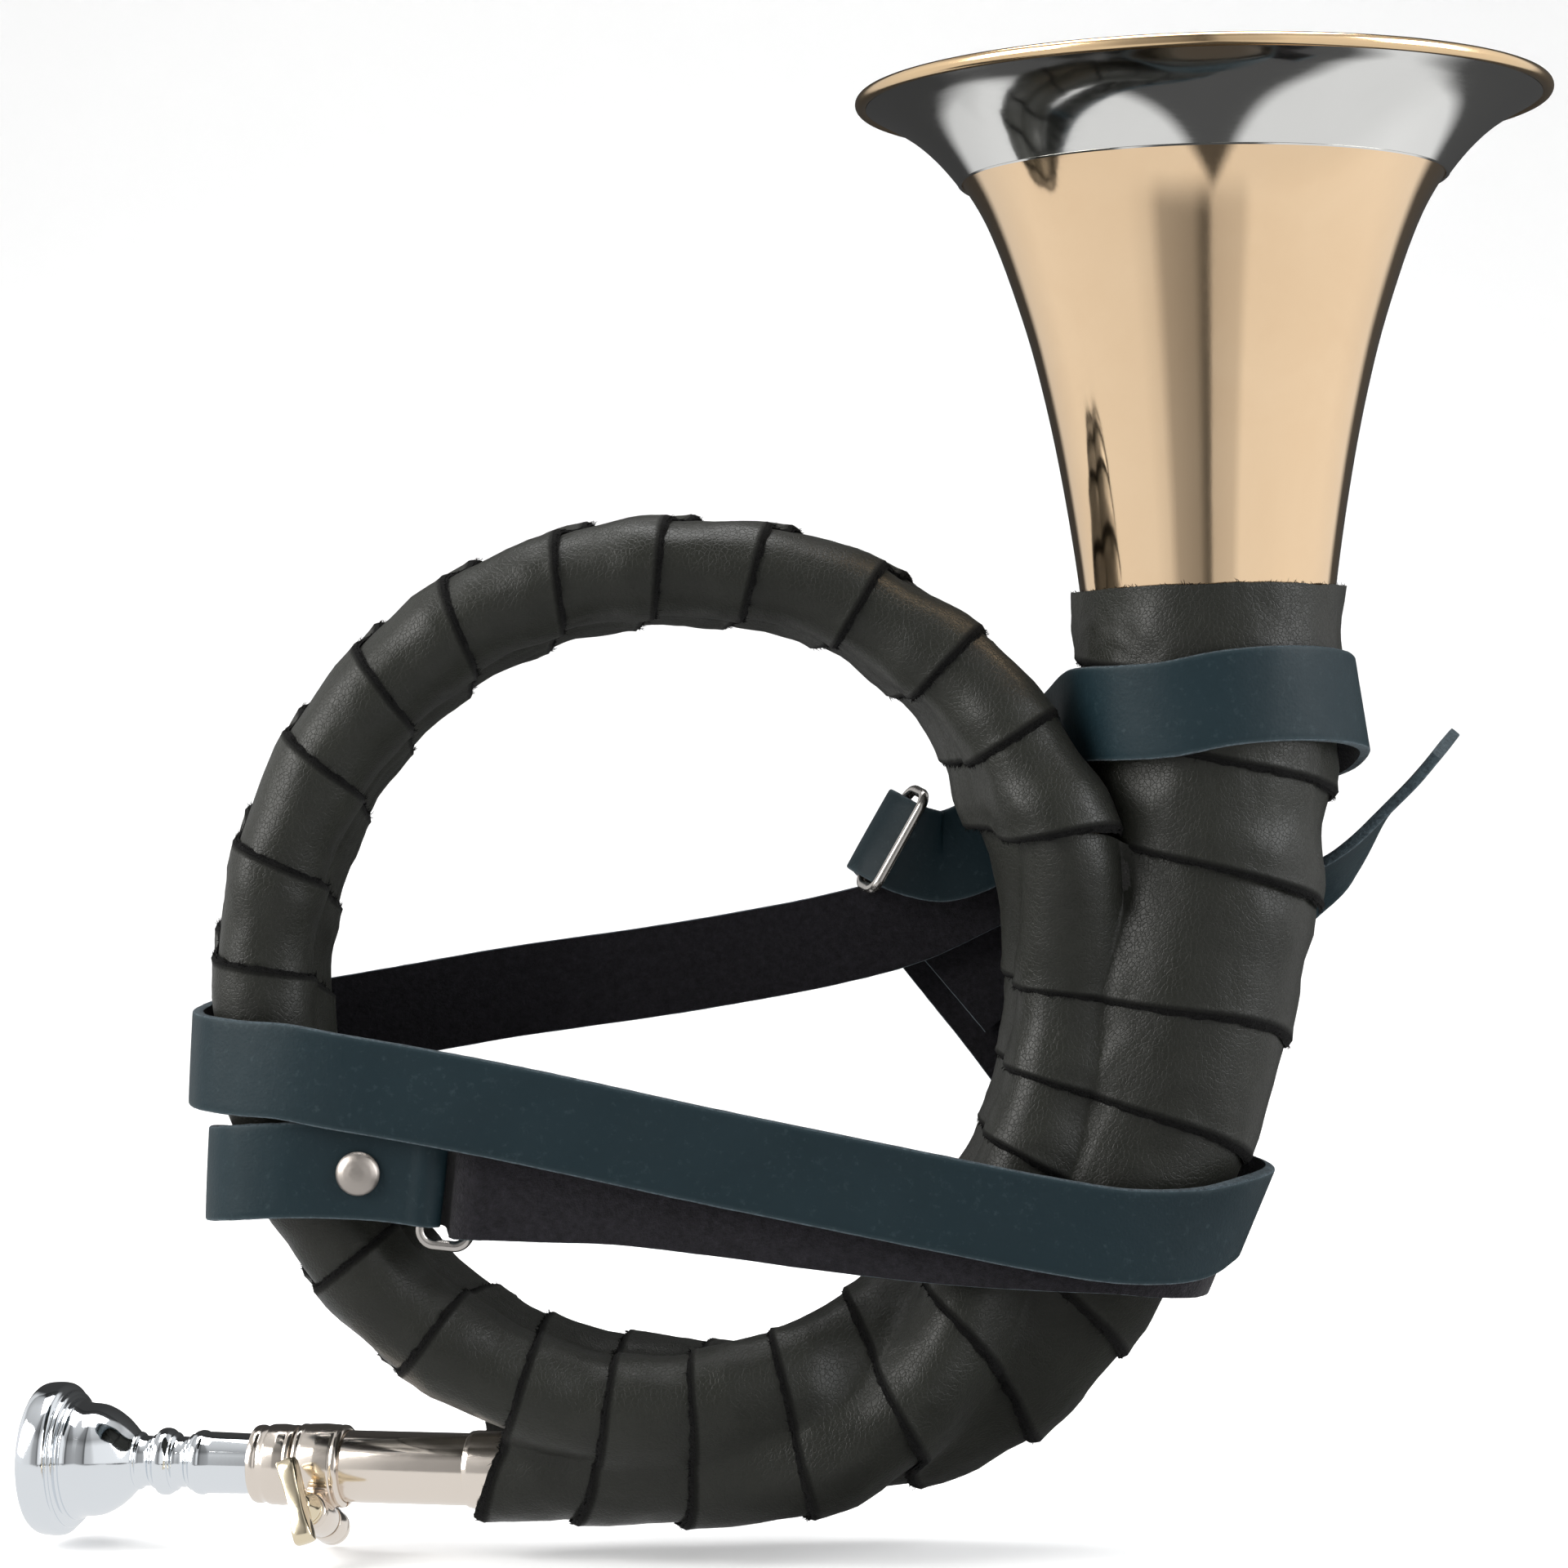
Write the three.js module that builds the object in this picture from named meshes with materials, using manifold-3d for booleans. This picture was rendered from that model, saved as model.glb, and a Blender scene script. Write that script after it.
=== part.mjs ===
import * as THREE from 'three';
import { mergeVertices } from 'three/addons/utils/BufferGeometryUtils.js';
import Module from 'manifold-3d';

// A leather-wrapped natural hunting horn: about two and a quarter turns of
// conical tube stacked in depth, a tuning slide with a clamp screw, a cup
// mouthpiece, a flared bell with garland and rolled rim, and a buckled strap.
// Millimetres. +Z is up and the bell opens upwards, +X is right (the bell's
// side), -Y is the front. The origin is the middle of the whole horn; shapes
// are laid out from the centre of the coil.

const wasm = await Module();
wasm.setup();

const vec = (x, y, z) => new THREE.Vector3(x, y, z);
const { degToRad, radToDeg, smoothstep } = THREE.MathUtils;

// ---- driving dimensions -------------------------------------------------
const HORN_MIDDLE = vec(20.117, 0, 28.074); // seen from the coil centre
const BELL_X = 98;         // bell axis from the coil centre
const BELL_RIM_R = 62.4;   // outside radius of the rolled rim
const BELL_TOP_Z = 159;    // top of the rolled rim
const BELL_BASE_Z = 40.3;  // where the bell meets the bell branch
const HOLE_RX = 61.2;      // clear opening inside the wrapped coil, horizontal
const HOLE_RZ = 64.4;      // the same, vertical
const LEATHER_T = 1.5;     // wrap leather, with its overlaps
const LEATHER_GAP = 0.35;  // clearance under the wrap
const TUBE_INSET = LEATHER_T + LEATHER_GAP;
const TUBE_WALL = 0.8;
const TUBE_SIDES = 10;
const LEAD_R = 6.5;        // outside radius of the outer slide tube
const SLIDE_R = 5.7;       // outside radius of the sliding receiver tube
const STRAP_W = 16.6;
const STRAP_T = 2;

// The slide axis runs from the clamp collar to the right and a little forward.
const COLLAR = vec(-64.3, 9.9, -87.6);
const SLIDE_AXIS = vec(0.9744, -0.2250, 0).normalize();
const along = (distance) => COLLAR.clone().addScaledVector(SLIDE_AXIS, distance);

// ---- materials ----------------------------------------------------------
const material = (color, { roughness, metalness }) => () =>
  new THREE.MeshStandardMaterial({ color, roughness, metalness });
const GOLD = material(0xd9ab78, { roughness: 0.18, metalness: 1 });
const BRASS = material(0xcfa765, { roughness: 0.25, metalness: 1 });
const NICKEL = material(0xc8c0b4, { roughness: 0.2, metalness: 1 });
const CHROME = material(0xc9ced6, { roughness: 0.1, metalness: 1 });
const HIDE = material(0x34352f, { roughness: 0.55, metalness: 0 });
const STRAP = material(0x142a30, { roughness: 0.6, metalness: 0 });
const STEEL = material(0x8d8b88, { roughness: 0.3, metalness: 1 });

// ---- scene --------------------------------------------------------------
const group = new THREE.Group();
const horn = new THREE.Group();
horn.position.copy(HORN_MIDDLE).negate();
group.add(horn);

function put(name, geometry, makeMaterial) {
  const mesh = new THREE.Mesh(geometry, makeMaterial());
  mesh.name = name;
  horn.add(mesh);
}

// ---- geometry helpers ---------------------------------------------------
function volume(geometry) {
  const { attributes: { position }, index } = geometry;
  const corner = (i) => vec(0, 0, 0).fromBufferAttribute(position, index.getX(i));
  let sum = 0;
  for (let i = 0; i < index.count; i += 3) {
    sum += corner(i).dot(corner(i + 1).cross(corner(i + 2)));
  }
  return sum / 6;
}

// flips every triangle if the surface faces inwards
function outward(geometry) {
  if (volume(geometry) < 0) {
    const index = geometry.index.array;
    for (let i = 0; i < index.length; i += 3) {
      [index[i + 1], index[i + 2]] = [index[i + 2], index[i + 1]];
    }
  }
  return geometry;
}

// closed surface through rings of equally many points: either looped back to
// the first ring, or capped at both ends
function skin(rings, looped) {
  const sides = rings[0].length;
  const count = rings.length;
  const index = [];
  for (let i = 0; i < (looped ? count : count - 1); i++) {
    const here = i * sides;
    const next = ((i + 1) % count) * sides;
    for (let j = 0; j < sides; j++) {
      const k = (j + 1) % sides;
      index.push(here + j, next + j, next + k, here + j, next + k, here + k);
    }
  }
  if (!looped) {
    const end = (count - 1) * sides;
    for (let j = 1; j < sides - 1; j++) {
      index.push(0, j, j + 1, end, end + j + 1, end + j);
    }
  }
  const positions = rings.flat().flatMap((point) => point.toArray());
  const geometry = new THREE.BufferGeometry();
  geometry.setAttribute('position', new THREE.Float32BufferAttribute(positions, 3));
  geometry.setIndex(index);
  return outward(geometry);
}

// open-ended hollow: out along the outer rings, back along the inner ones
const shell = (outer, inner) => skin([...outer, ...inner.slice().reverse()], true);

// part of a vector square to a unit axis, as a unit vector
const squareTo = (axis, vector) =>
  vector.clone().addScaledVector(axis, -vector.dot(axis)).normalize();

// section plane at each point of a line: across and up span the plane
function frames(points) {
  return points.map((centre, i) => {
    const before = points[Math.max(i - 1, 0)];
    const after = points[Math.min(i + 1, points.length - 1)];
    const tangent = after.clone().sub(before).normalize();
    const across = squareTo(tangent, vec(0, 1, 0));
    const up = tangent.clone().cross(across).normalize();
    return { centre, tangent, across, up };
  });
}

function circleIn({ centre, across, up }, radius, sides) {
  return Array.from({ length: sides }, (_, i) => {
    const angle = (i + 0.5) / sides * Math.PI * 2;
    return centre.clone()
      .addScaledVector(across, Math.cos(angle) * radius)
      .addScaledVector(up, Math.sin(angle) * radius);
  });
}

// bare positions with coincident vertices joined
function weld(geometry, tolerance) {
  const bare = geometry.clone();
  for (const key of Object.keys(bare.attributes)) {
    if (key !== 'position') bare.deleteAttribute(key);
  }
  return mergeVertices(bare, tolerance);
}

// closed loop of [radius, height] turned about Z
function lathe(profile, segments) {
  const points = [...profile, profile[0]].map(([r, h]) => new THREE.Vector2(r, h));
  const turned = new THREE.LatheGeometry(points, segments).rotateX(Math.PI / 2);
  return outward(weld(turned, 1e-4));
}

function rod(radius, start, end, sides) {
  const direction = end.clone().sub(start);
  const middle = start.clone().add(end).multiplyScalar(0.5);
  const geometry = new THREE.CylinderGeometry(radius, radius, direction.length(), sides, 1);
  const turn = new THREE.Quaternion().setFromUnitVectors(vec(0, 1, 0), direction.normalize());
  return geometry.applyQuaternion(turn).translate(middle.x, middle.y, middle.z);
}

// moves a turned piece so its Z lies along a unit direction
function placed(geometry, origin, direction) {
  const turn = new THREE.Quaternion().setFromUnitVectors(vec(0, 0, 1), direction);
  return geometry.applyQuaternion(turn).translate(origin.x, origin.y, origin.z);
}

function setInAxes(geometry, xAxis, yAxis, zAxis, origin) {
  const matrix = new THREE.Matrix4().makeBasis(xAxis, yAxis, zAxis).setPosition(origin);
  return geometry.applyMatrix4(matrix);
}

function toSolid(geometry) {
  const welded = weld(geometry, 1e-5);
  return new wasm.Manifold(new wasm.Mesh({
    numProp: 3,
    vertProperties: new Float32Array(welded.attributes.position.array),
    triVerts: new Uint32Array(welded.index.array),
  }));
}

function fromSolid(solid) {
  const mesh = solid.getMesh();
  const positions = new Float32Array(mesh.numVert * 3);
  for (let i = 0; i < mesh.numVert; i++) {
    for (let k = 0; k < 3; k++) {
      positions[i * 3 + k] = mesh.vertProperties[i * mesh.numProp + k];
    }
  }
  const geometry = new THREE.BufferGeometry();
  geometry.setAttribute('position', new THREE.BufferAttribute(positions, 3));
  geometry.setIndex(new THREE.BufferAttribute(new Uint32Array(mesh.triVerts), 1));
  return geometry;
}

const onBell = (profile, segments) => lathe(profile, segments).translate(BELL_X, 0, 0);
const onSlide = (profile, segments) => placed(lathe(profile, segments), COLLAR, SLIDE_AXIS);

// pipe on the slide axis; stations are [distance from the collar, radius]
function slidePipe(stations, wall, sides) {
  const sections = frames(stations.map(([distance]) => along(distance)));
  const clear = 1 / Math.cos(Math.PI / sides); // inner flats clear a round tube inside
  return shell(
    sections.map((section, i) => circleIn(section, stations[i][1], sides)),
    sections.map((section, i) => circleIn(section, (stations[i][1] - wall) * clear, sides)),
  );
}

// ---- course of the windings ---------------------------------------------
// The running angle is 0 at the right-hand side of the first turn and grows
// upwards, over the top, down the left and along the bottom; 360 starts the
// second turn. A tube section is [distance from the coil axis, y, radius].

// [running angle, outside radius of the tube]
const TUBE_RADIUS = [
  [-130, 6.5], [-60, 6.5], [0, 6.6], [90, 6.8], [180, 6.95], [260, 7.1], [300, 7.2],
  [360, 7.5], [450, 8.0], [540, 8.6], [620, 9.5], [660, 10.6], [690, 12.6],
  [710, 15.2], [720, 16.6], [735, 17.4],
];
const STEP = 10; // degrees between stations

function tubeR(angle) {
  const next = TUBE_RADIUS.findIndex(([limit]) => angle <= limit);
  const [angle0, r0] = TUBE_RADIUS[next - 1];
  const [angle1, r1] = TUBE_RADIUS[next];
  return r0 + (angle - angle0) / (angle1 - angle0) * (r1 - r0);
}

// distance from the coil axis to the inside of the wrapped coil
function holeR(deg) {
  const angle = degToRad(deg);
  return 1 / Math.hypot(Math.cos(angle) / HOLE_RX, Math.sin(angle) / HOLE_RZ);
}

function polar(deg, r, y) {
  const angle = degToRad(deg);
  return vec(r * Math.cos(angle), y, r * Math.sin(angle));
}

// two windings side by side
function pairAt(deg) {
  const frontR = tubeR(deg);
  const backR = tubeR(deg + 360);
  // near the junction the front tube rides outwards over the bell branch
  const ride = smoothstep(deg, 0, 20) * (1 - smoothstep(deg, 22, 60));
  const outwards = 4.2 * ride;
  const spacing = frontR + backR + 0.5;
  const depth = Math.sqrt(spacing * spacing - outwards * outwards);
  const middle = (frontR - backR) / 2 - 6.2 * ride;
  const base = holeR(deg) + TUBE_INSET + Math.max(frontR, backR);
  return {
    front: [base + outwards, middle - depth / 2, frontR],
    back: [base, middle + depth / 2, backR],
  };
}

// three tubes through the bottom: lead, second winding and bell branch. The
// bundle turns as the lead tube comes round to the inside and the widening
// branch moves to the outside.
function tripleAt(deg) {
  const radii = [tubeR(deg), tubeR(deg + 360), tubeR(deg + 720)];
  const [leadR, secondR, branchR] = radii;
  const turned = smoothstep(deg, -97, -28);
  const gap = 0.9 + 2.6 * Math.sin(Math.PI * turned);
  const leadSecond = leadR + secondR + gap;
  const leadBranch = leadR + branchR + gap;
  const secondBranch = secondR + branchR + gap;
  // triangle of centres: lead at 0, second on the first axis, branch clockwise
  const corner = Math.acos((leadSecond ** 2 + leadBranch ** 2 - secondBranch ** 2)
    / (2 * leadSecond * leadBranch));
  const branch = [leadBranch * Math.cos(corner), -leadBranch * Math.sin(corner)];
  // turns from second-to-branch pointing straight back to lead-to-second doing so
  const slope = Math.atan2(branch[1], branch[0] - leadSecond);
  const angle = Math.PI / 2 - slope * (1 - turned);
  const cos = Math.cos(angle);
  const sin = Math.sin(angle);
  const centres = [[0, 0], [leadSecond, 0], branch]
    .map(([x, y]) => [x * cos - y * sin, x * sin + y * cos]);
  const innermost = Math.min(...centres.map(([r], i) => r - radii[i]));
  const front = Math.min(...centres.map(([, y], i) => y - radii[i]));
  const back = Math.max(...centres.map(([, y], i) => y + radii[i]));
  const shift = holeR(deg) + TUBE_INSET - innermost;
  return centres.map(([r, y], i) => [r + shift, y - (front + back) / 2, radii[i]]);
}

function layPath() {
  const stations = [30, 42, 52, 61].map((s) => ({ centre: along(s), radius: LEAD_R }));
  const run = (from, to, turn, sectionAt) => {
    for (let deg = from; deg <= to; deg += STEP) {
      const [r, y, radius] = sectionAt(deg);
      stations.push({ centre: polar(deg, r, y), radius, angle: deg + turn * 360 });
    }
  };
  run(-80, 0, 0, (deg) => tripleAt(deg)[0]);
  run(STEP, 250, 0, (deg) => pairAt(deg).front);
  run(-100, 0, 1, (deg) => tripleAt(deg)[1]);
  run(STEP, 250, 1, (deg) => pairAt(deg).back);
  run(-100, 0, 2, (deg) => tripleAt(deg)[2]);
  stations.push(
    { centre: vec(97, 0, 14), radius: 17.6 },
    { centre: vec(BELL_X, 0, 27), radius: 18.4 },
    { centre: vec(BELL_X, 0, BELL_BASE_Z - 3), radius: 19.2 },
  );
  return stations;
}

// The pieces share the section planes of the one path; the ends stand back.
function addCoilTubes() {
  const path = layPath();
  const sections = frames(path.map(({ centre }) => centre));
  const stationAt = (angle) => path.findIndex((station) => station.angle === angle);
  const tube = (name, [first, last], [startGap, endGap], makeMaterial) => {
    const rings = (wall) => sections.slice(first, last + 1).map((section, i) => {
      const centre = section.centre.clone();
      if (i === 0) centre.addScaledVector(section.tangent, startGap);
      if (i === last - first) centre.addScaledVector(section.tangent, -endGap);
      return circleIn({ ...section, centre }, path[first + i].radius - wall, TUBE_SIDES);
    });
    put(name, shell(rings(0), rings(TUBE_WALL)), makeMaterial);
  };
  const secondStart = stationAt(300);
  const branchStart = stationAt(640);
  tube('coil_tube_first', [0, secondStart], [0.3, 0.2], BRASS);
  tube('coil_tube_second', [secondStart, branchStart], [0.2, 0.2], BRASS);
  tube('bell_branch', [branchStart, path.length - 1], [0.2, 0], GOLD);
}

// small rod in the outer groove between the two windings
function addBrace(name, deg) {
  const RADIUS = 0.9;
  const LENGTH = 9;
  const OUT = 4.6; // beyond the tube centres
  const { front: [r0, y0, frontR], back: [r1, y1, backR] } = pairAt(deg);
  const centre = polar(deg, (r0 + r1) / 2 + OUT, (y0 * backR + y1 * frontR) / (frontR + backR));
  const end = (side) => centre.clone().addScaledVector(polar(deg + 90, 1, 0), side * LENGTH / 2);
  put(name, weld(rod(RADIUS, end(-1), end(1), 8), 1e-4), BRASS);
}

// ---- bell ---------------------------------------------------------------
// outside of the flare: [radius, z]
const FLARE = [
  [19.2, 37.6], [20.0, 47], [20.9, 52], [22.0, 60], [23.0, 70], [24.2, 78.8],
  [25.6, 87.6], [27.2, 96.4], [29.1, 105.3], [31.3, 114.1], [34.0, 122.9],
  [37.1, 131.7], [39.9, 138], [43.3, 143.5], [47.6, 148.7], [51.8, 152.5],
  [56.4, 155.5], [59.6, 157.2],
];
const GARLAND_START = 13; // first flare point under the garland
// rolled rim section: [radius from the rim radius, z from the top]
const RIM = [
  [-2.0, 0], [-0.5, 0], [0, -0.55], [0, -1.6], [-0.6, -2.3], [-1.8, -2.3], [-2.2, -1.2],
];
// ferrule round the foot of the bell: [radius, z]
const BELL_FERRULE = [
  [20.2, 32], [20.5, 38.5], [20.9, 45], [20.35, 45], [19.95, 38.5], [19.6, 32],
];

function addFlare() {
  const inside = FLARE.map(([r, z], i) => (
    i > GARLAND_START ? [r - 0.5, z + 0.6] : [r - TUBE_WALL, z]
  ));
  put('bell_flare', onBell([...FLARE, ...inside.reverse()], 24), GOLD);
}

// band lying over the mouth of the flare
function addGarland() {
  const base = FLARE.slice(GARLAND_START);
  const offset = (distance) => base.map(([r, z], i) => {
    const [r0, z0] = base[Math.max(0, i - 1)];
    const [r1, z1] = base[Math.min(base.length - 1, i + 1)];
    const scale = distance / Math.hypot(r1 - r0, z1 - z0);
    return [r + (z1 - z0) * scale, z - (r1 - r0) * scale];
  });
  put('bell_garland', onBell([...offset(0.95), ...offset(0.35).reverse()], 24), NICKEL);
}

function addRim() {
  const profile = RIM.map(([r, z]) => [BELL_RIM_R + r, BELL_TOP_Z + z]);
  put('bell_rim', onBell(profile, 32), BRASS);
}

// ---- leather wraps ------------------------------------------------------
const WRAP_OUT = TUBE_INSET + 0.2;  // leather surfaces beyond the tubes
const WRAP_IN = LEATHER_GAP + 0.6;
const HULL_DIRECTIONS = 144;
// under the sleeve above the coil: [radius, z]
const SLEEVE = [
  [19.7, 29.5], [20.3, 33], [20.8, 39], [21.2, 46], [21.9, 58], [23.1, 69.5],
];
const SLEEVE_GAP = 0.45;

// hull of circles [r, y, radius] grown by a margin, as points round its middle
function hullRing(circles, margin, count) {
  const mean = (k) => circles.reduce((sum, circle) => sum + circle[k], 0) / circles.length;
  const [midR, midY] = [mean(0), mean(1)];
  // support line in each direction: its normal and its distance from the middle
  const supports = Array.from({ length: HULL_DIRECTIONS }, (_, k) => {
    const angle = k / HULL_DIRECTIONS * Math.PI * 2;
    const [cos, sin] = [Math.cos(angle), Math.sin(angle)];
    const reach = Math.max(...circles.map(([r, y, radius]) =>
      (r - midR) * cos + (y - midY) * sin + radius));
    return [cos, sin, reach + margin];
  });
  return Array.from({ length: count }, (_, i) => {
    const angle = (i + 0.5) / count * Math.PI * 2;
    const [cos, sin] = [Math.cos(angle), Math.sin(angle)];
    let nearest = Infinity;
    for (const [normalR, normalY, distance] of supports) {
      const facing = normalR * cos + normalY * sin;
      if (facing >= 0.15) nearest = Math.min(nearest, distance / facing);
    }
    return [midR + cos * nearest, midY + sin * nearest];
  });
}

// a section is its circles and how its plane lies: radial, or level at a height
const radial = (deg, circles) => ({ circles, place: (r, y) => polar(deg, r, y) });
const level = (z, circles) => ({ circles, place: (x, y) => vec(x, y, z) });
const grown = ([r, y, radius], extra) => [r, y, radius + extra];

function addWrap(name, sections, sides) {
  const rings = (margin) => sections.map(({ circles, place }) =>
    hullRing(circles, margin, sides).map(([r, y]) => place(r, y)));
  put(name, shell(rings(WRAP_OUT), rings(WRAP_IN)), HIDE);
}

function addRingWrap() {
  const angles = [25, ...Array.from({ length: 22 }, (_, i) => 30 + i * STEP), 246];
  const sections = angles.map((deg) => {
    const { front, back } = pairAt(deg);
    return radial(deg, [front, back]);
  });
  addWrap('leather_wrap_ring', sections, 16);
}

// where the straight lead tube crosses the radial plane
function straightLeadAt(deg) {
  const cos = Math.cos(degToRad(deg));
  const sin = Math.sin(degToRad(deg));
  const distance = (COLLAR.z * cos - COLLAR.x * sin) / (SLIDE_AXIS.x * sin - SLIDE_AXIS.z * cos);
  const point = along(distance);
  return [Math.hypot(point.x, point.z), point.y, LEAD_R + 1.2];
}

function addLowerWrap() {
  const sections = [];
  for (const deg of [-113, -107]) {
    const { front, back } = pairAt(deg + 360);
    sections.push(radial(deg, [straightLeadAt(deg), front, back]));
  }
  for (const deg of [-100, -90]) {
    const [, second, branch] = tripleAt(deg);
    sections.push(radial(deg, [straightLeadAt(deg), second, grown(branch, 0.3)]));
  }
  for (let deg = -80; deg <= 0; deg += STEP) {
    const [lead, second, branch] = tripleAt(deg);
    sections.push(radial(deg, [
      grown(lead, 0.2),
      grown(second, 0.2 + 0.3 * smoothstep(deg, -40, 0)),
      grown(branch, 0.4 + 0.9 * smoothstep(deg, -40, -10)),
    ]));
  }
  // above the centre line, level sections round the windings and the bell branch
  for (const z of [8, 16, 23]) {
    const { front, back } = pairAt(radToDeg(Math.asin(z / 70)));
    const cut = ([r, y, radius]) => [Math.sqrt(r * r - z * z), y, radius + 0.4];
    sections.push(level(z, [cut(front), cut(back), [97.3, 0, 18.6]]));
  }
  addWrap('leather_wrap_lower', sections, 22);
}

// straight sleeve from the bell branch up over the foot of the bell
function addBellWrap() {
  const inside = SLEEVE.map(([r, z]) => [r + SLEEVE_GAP, z]);
  const outside = inside.map(([r, z]) => [r + LEATHER_T, z]);
  put('leather_wrap_bell', onBell([...outside, ...inside.reverse()], 32), HIDE);
}

// ---- tuning slide and mouthpiece ----------------------------------------
// [distance from the collar, radius]
const OUTER_SLIDE = [[-3.6, LEAD_R], [14, LEAD_R], [29.7, LEAD_R]];
const RECEIVER = [[-12, SLIDE_R], [10, SLIDE_R], [28.5, SLIDE_R]];
// sleeve where the outer slide tube meets the first winding
const COUPLING = [[28.5, 7.3], [33, 7.4], [38, 7.3]];
// [radius, distance from the collar]
const RECEIVER_FERRULE = [
  [6.9, -12.6], [7.25, -11.6], [7.35, -8.5], [7.25, -5.4], [6.9, -4.4],
  [6.02, -4.4], [6.02, -12.6],
];
// outside from the rim to the shank tip, then back up the bore, throat and
// cup: [radius, distance from the collar]
const MOUTHPIECE = [
  [13.2, -54.3], [14.0, -53.6], [14.1, -50.2], [13.5, -48.9], [12.0, -48.2],
  [10.9, -47.0], [10.3, -45.0], [10.1, -42.5], [9.1, -40.2], [7.4, -38.0],
  [5.8, -36.3], [5.0, -35.2], [4.7, -33.8], [4.7, -32.2], [5.7, -31.2],
  [6.1, -30.0], [5.7, -28.6], [4.7, -27.4], [4.7, -25.4], [5.3, -24.6],
  [5.8, -22.5], [5.65, -12.9], [4.85, -12.6], [4.35, 7.5],
  [3.6, 7.5], [2.6, -12], [1.9, -30], [1.9, -35], [3.6, -38.5], [6.6, -42.0],
  [8.0, -46.5], [8.4, -50.5], [9.2, -53.2], [11.0, -54.6],
];

// ---- clamp --------------------------------------------------------------
const SCREW_AXIS = squareTo(SLIDE_AXIS, vec(0.2157, 0.8968, -0.3870));
// from the slide axis to the screw axis, towards the underside
const BOSS_DIRECTION = SCREW_AXIS.clone().cross(SLIDE_AXIS).normalize();
const BOSS = along(0.5).addScaledVector(BOSS_DIRECTION, 9.6);
const screwAt = (distance) => BOSS.clone().addScaledVector(SCREW_AXIS, distance);
// the wing's long direction and its thickness direction
const WING_LONG = squareTo(SCREW_AXIS, vec(0.2575, -0.437, -0.86));
const WING_THICK = SCREW_AXIS.clone().cross(WING_LONG).normalize();

// [radius, distance from the collar]
const CLAMP_SLEEVE = [
  [7.0, -4.0], [7.45, -3.2], [7.6, 0.5], [7.45, 4.1], [7.0, 5.0], [6.3, 5.0], [6.3, -4.0],
];
// [radius, distance along the screw axis]
const WASHER = [[2.9, -7.2], [2.9, -6.4], [1.8, -6.4], [1.8, -7.2]];
const STEM = [
  [0.001, -10.6], [1.9, -10.6], [2.3, -9.4], [2.9, -7.5], [1.5, -7.5],
  [1.5, 11.2], [0.001, 11.2],
];
// wing outline: [along its length, away from the stem]
const WING_L = 8;   // half length
const WING_H = 3.3; // half height
const WING = [
  [-WING_L + 2.4, -WING_H + 0.9], [-WING_L, -WING_H * 0.3], [-WING_L, WING_H * 0.6],
  [-WING_L + 1.6, WING_H], [-1.6, WING_H * 0.55], [1.6, WING_H * 0.55],
  [WING_L - 1.6, WING_H], [WING_L, WING_H * 0.6], [WING_L, -WING_H * 0.3],
  [WING_L - 2.4, -WING_H + 0.9], [2, -WING_H], [-2, -WING_H],
];
const WING_DEPTH = 1.8; // before the bevels

function addClampCollar() {
  const sleeve = toSolid(onSlide(CLAMP_SLEEVE, 24));
  const boss = toSolid(rod(3, screwAt(-6), screwAt(9.4), 16));
  const bore = toSolid(rod(LEAD_R + 0.32, along(-9), along(9), 24));
  const screwHole = toSolid(rod(1.9, screwAt(-8), screwAt(12), 12));
  const whole = sleeve.add(boss).subtract(bore).subtract(screwHole);
  // slit through the boss and one side of the sleeve, across the screw axis
  const slit = setInAxes(
    new THREE.BoxGeometry(14, 0.8, 8),
    SLIDE_AXIS, SCREW_AXIS, BOSS_DIRECTION,
    screwAt(2.4).addScaledVector(BOSS_DIRECTION, -0.9),
  );
  const split = whole.subtract(toSolid(outward(slit)));
  // the slit is only kept if the collar stays in one piece
  const collar = split.decompose().length === 1 ? split : whole;
  put('clamp_collar', fromSolid(collar), NICKEL);
}

function addThumbScrew() {
  const stem = toSolid(placed(lathe(STEM, 16), BOSS, SCREW_AXIS));
  const outline = new THREE.Shape(WING.map(([x, y]) => new THREE.Vector2(x, y)));
  outline.closePath();
  const wing = new THREE.ExtrudeGeometry(outline, {
    depth: WING_DEPTH,
    steps: 1,
    bevelEnabled: true,
    bevelThickness: 0.5,
    bevelSize: 0.5,
    bevelOffset: -0.4,
    bevelSegments: 1,
  }).translate(0, 0, -WING_DEPTH / 2);
  setInAxes(wing, WING_LONG, SCREW_AXIS.clone().negate(), WING_THICK, screwAt(-12.8));
  put('thumb_screw', fromSolid(stem.add(toSolid(wing))), BRASS);
}

// ---- carrying strap -----------------------------------------------------
// Control points are [x, y, z, then the direction across the strap].
const STRAP_STEPS = 2; // sections per control span
const facing = (across, points) => points.map((point) => [...point, ...across]);

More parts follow.
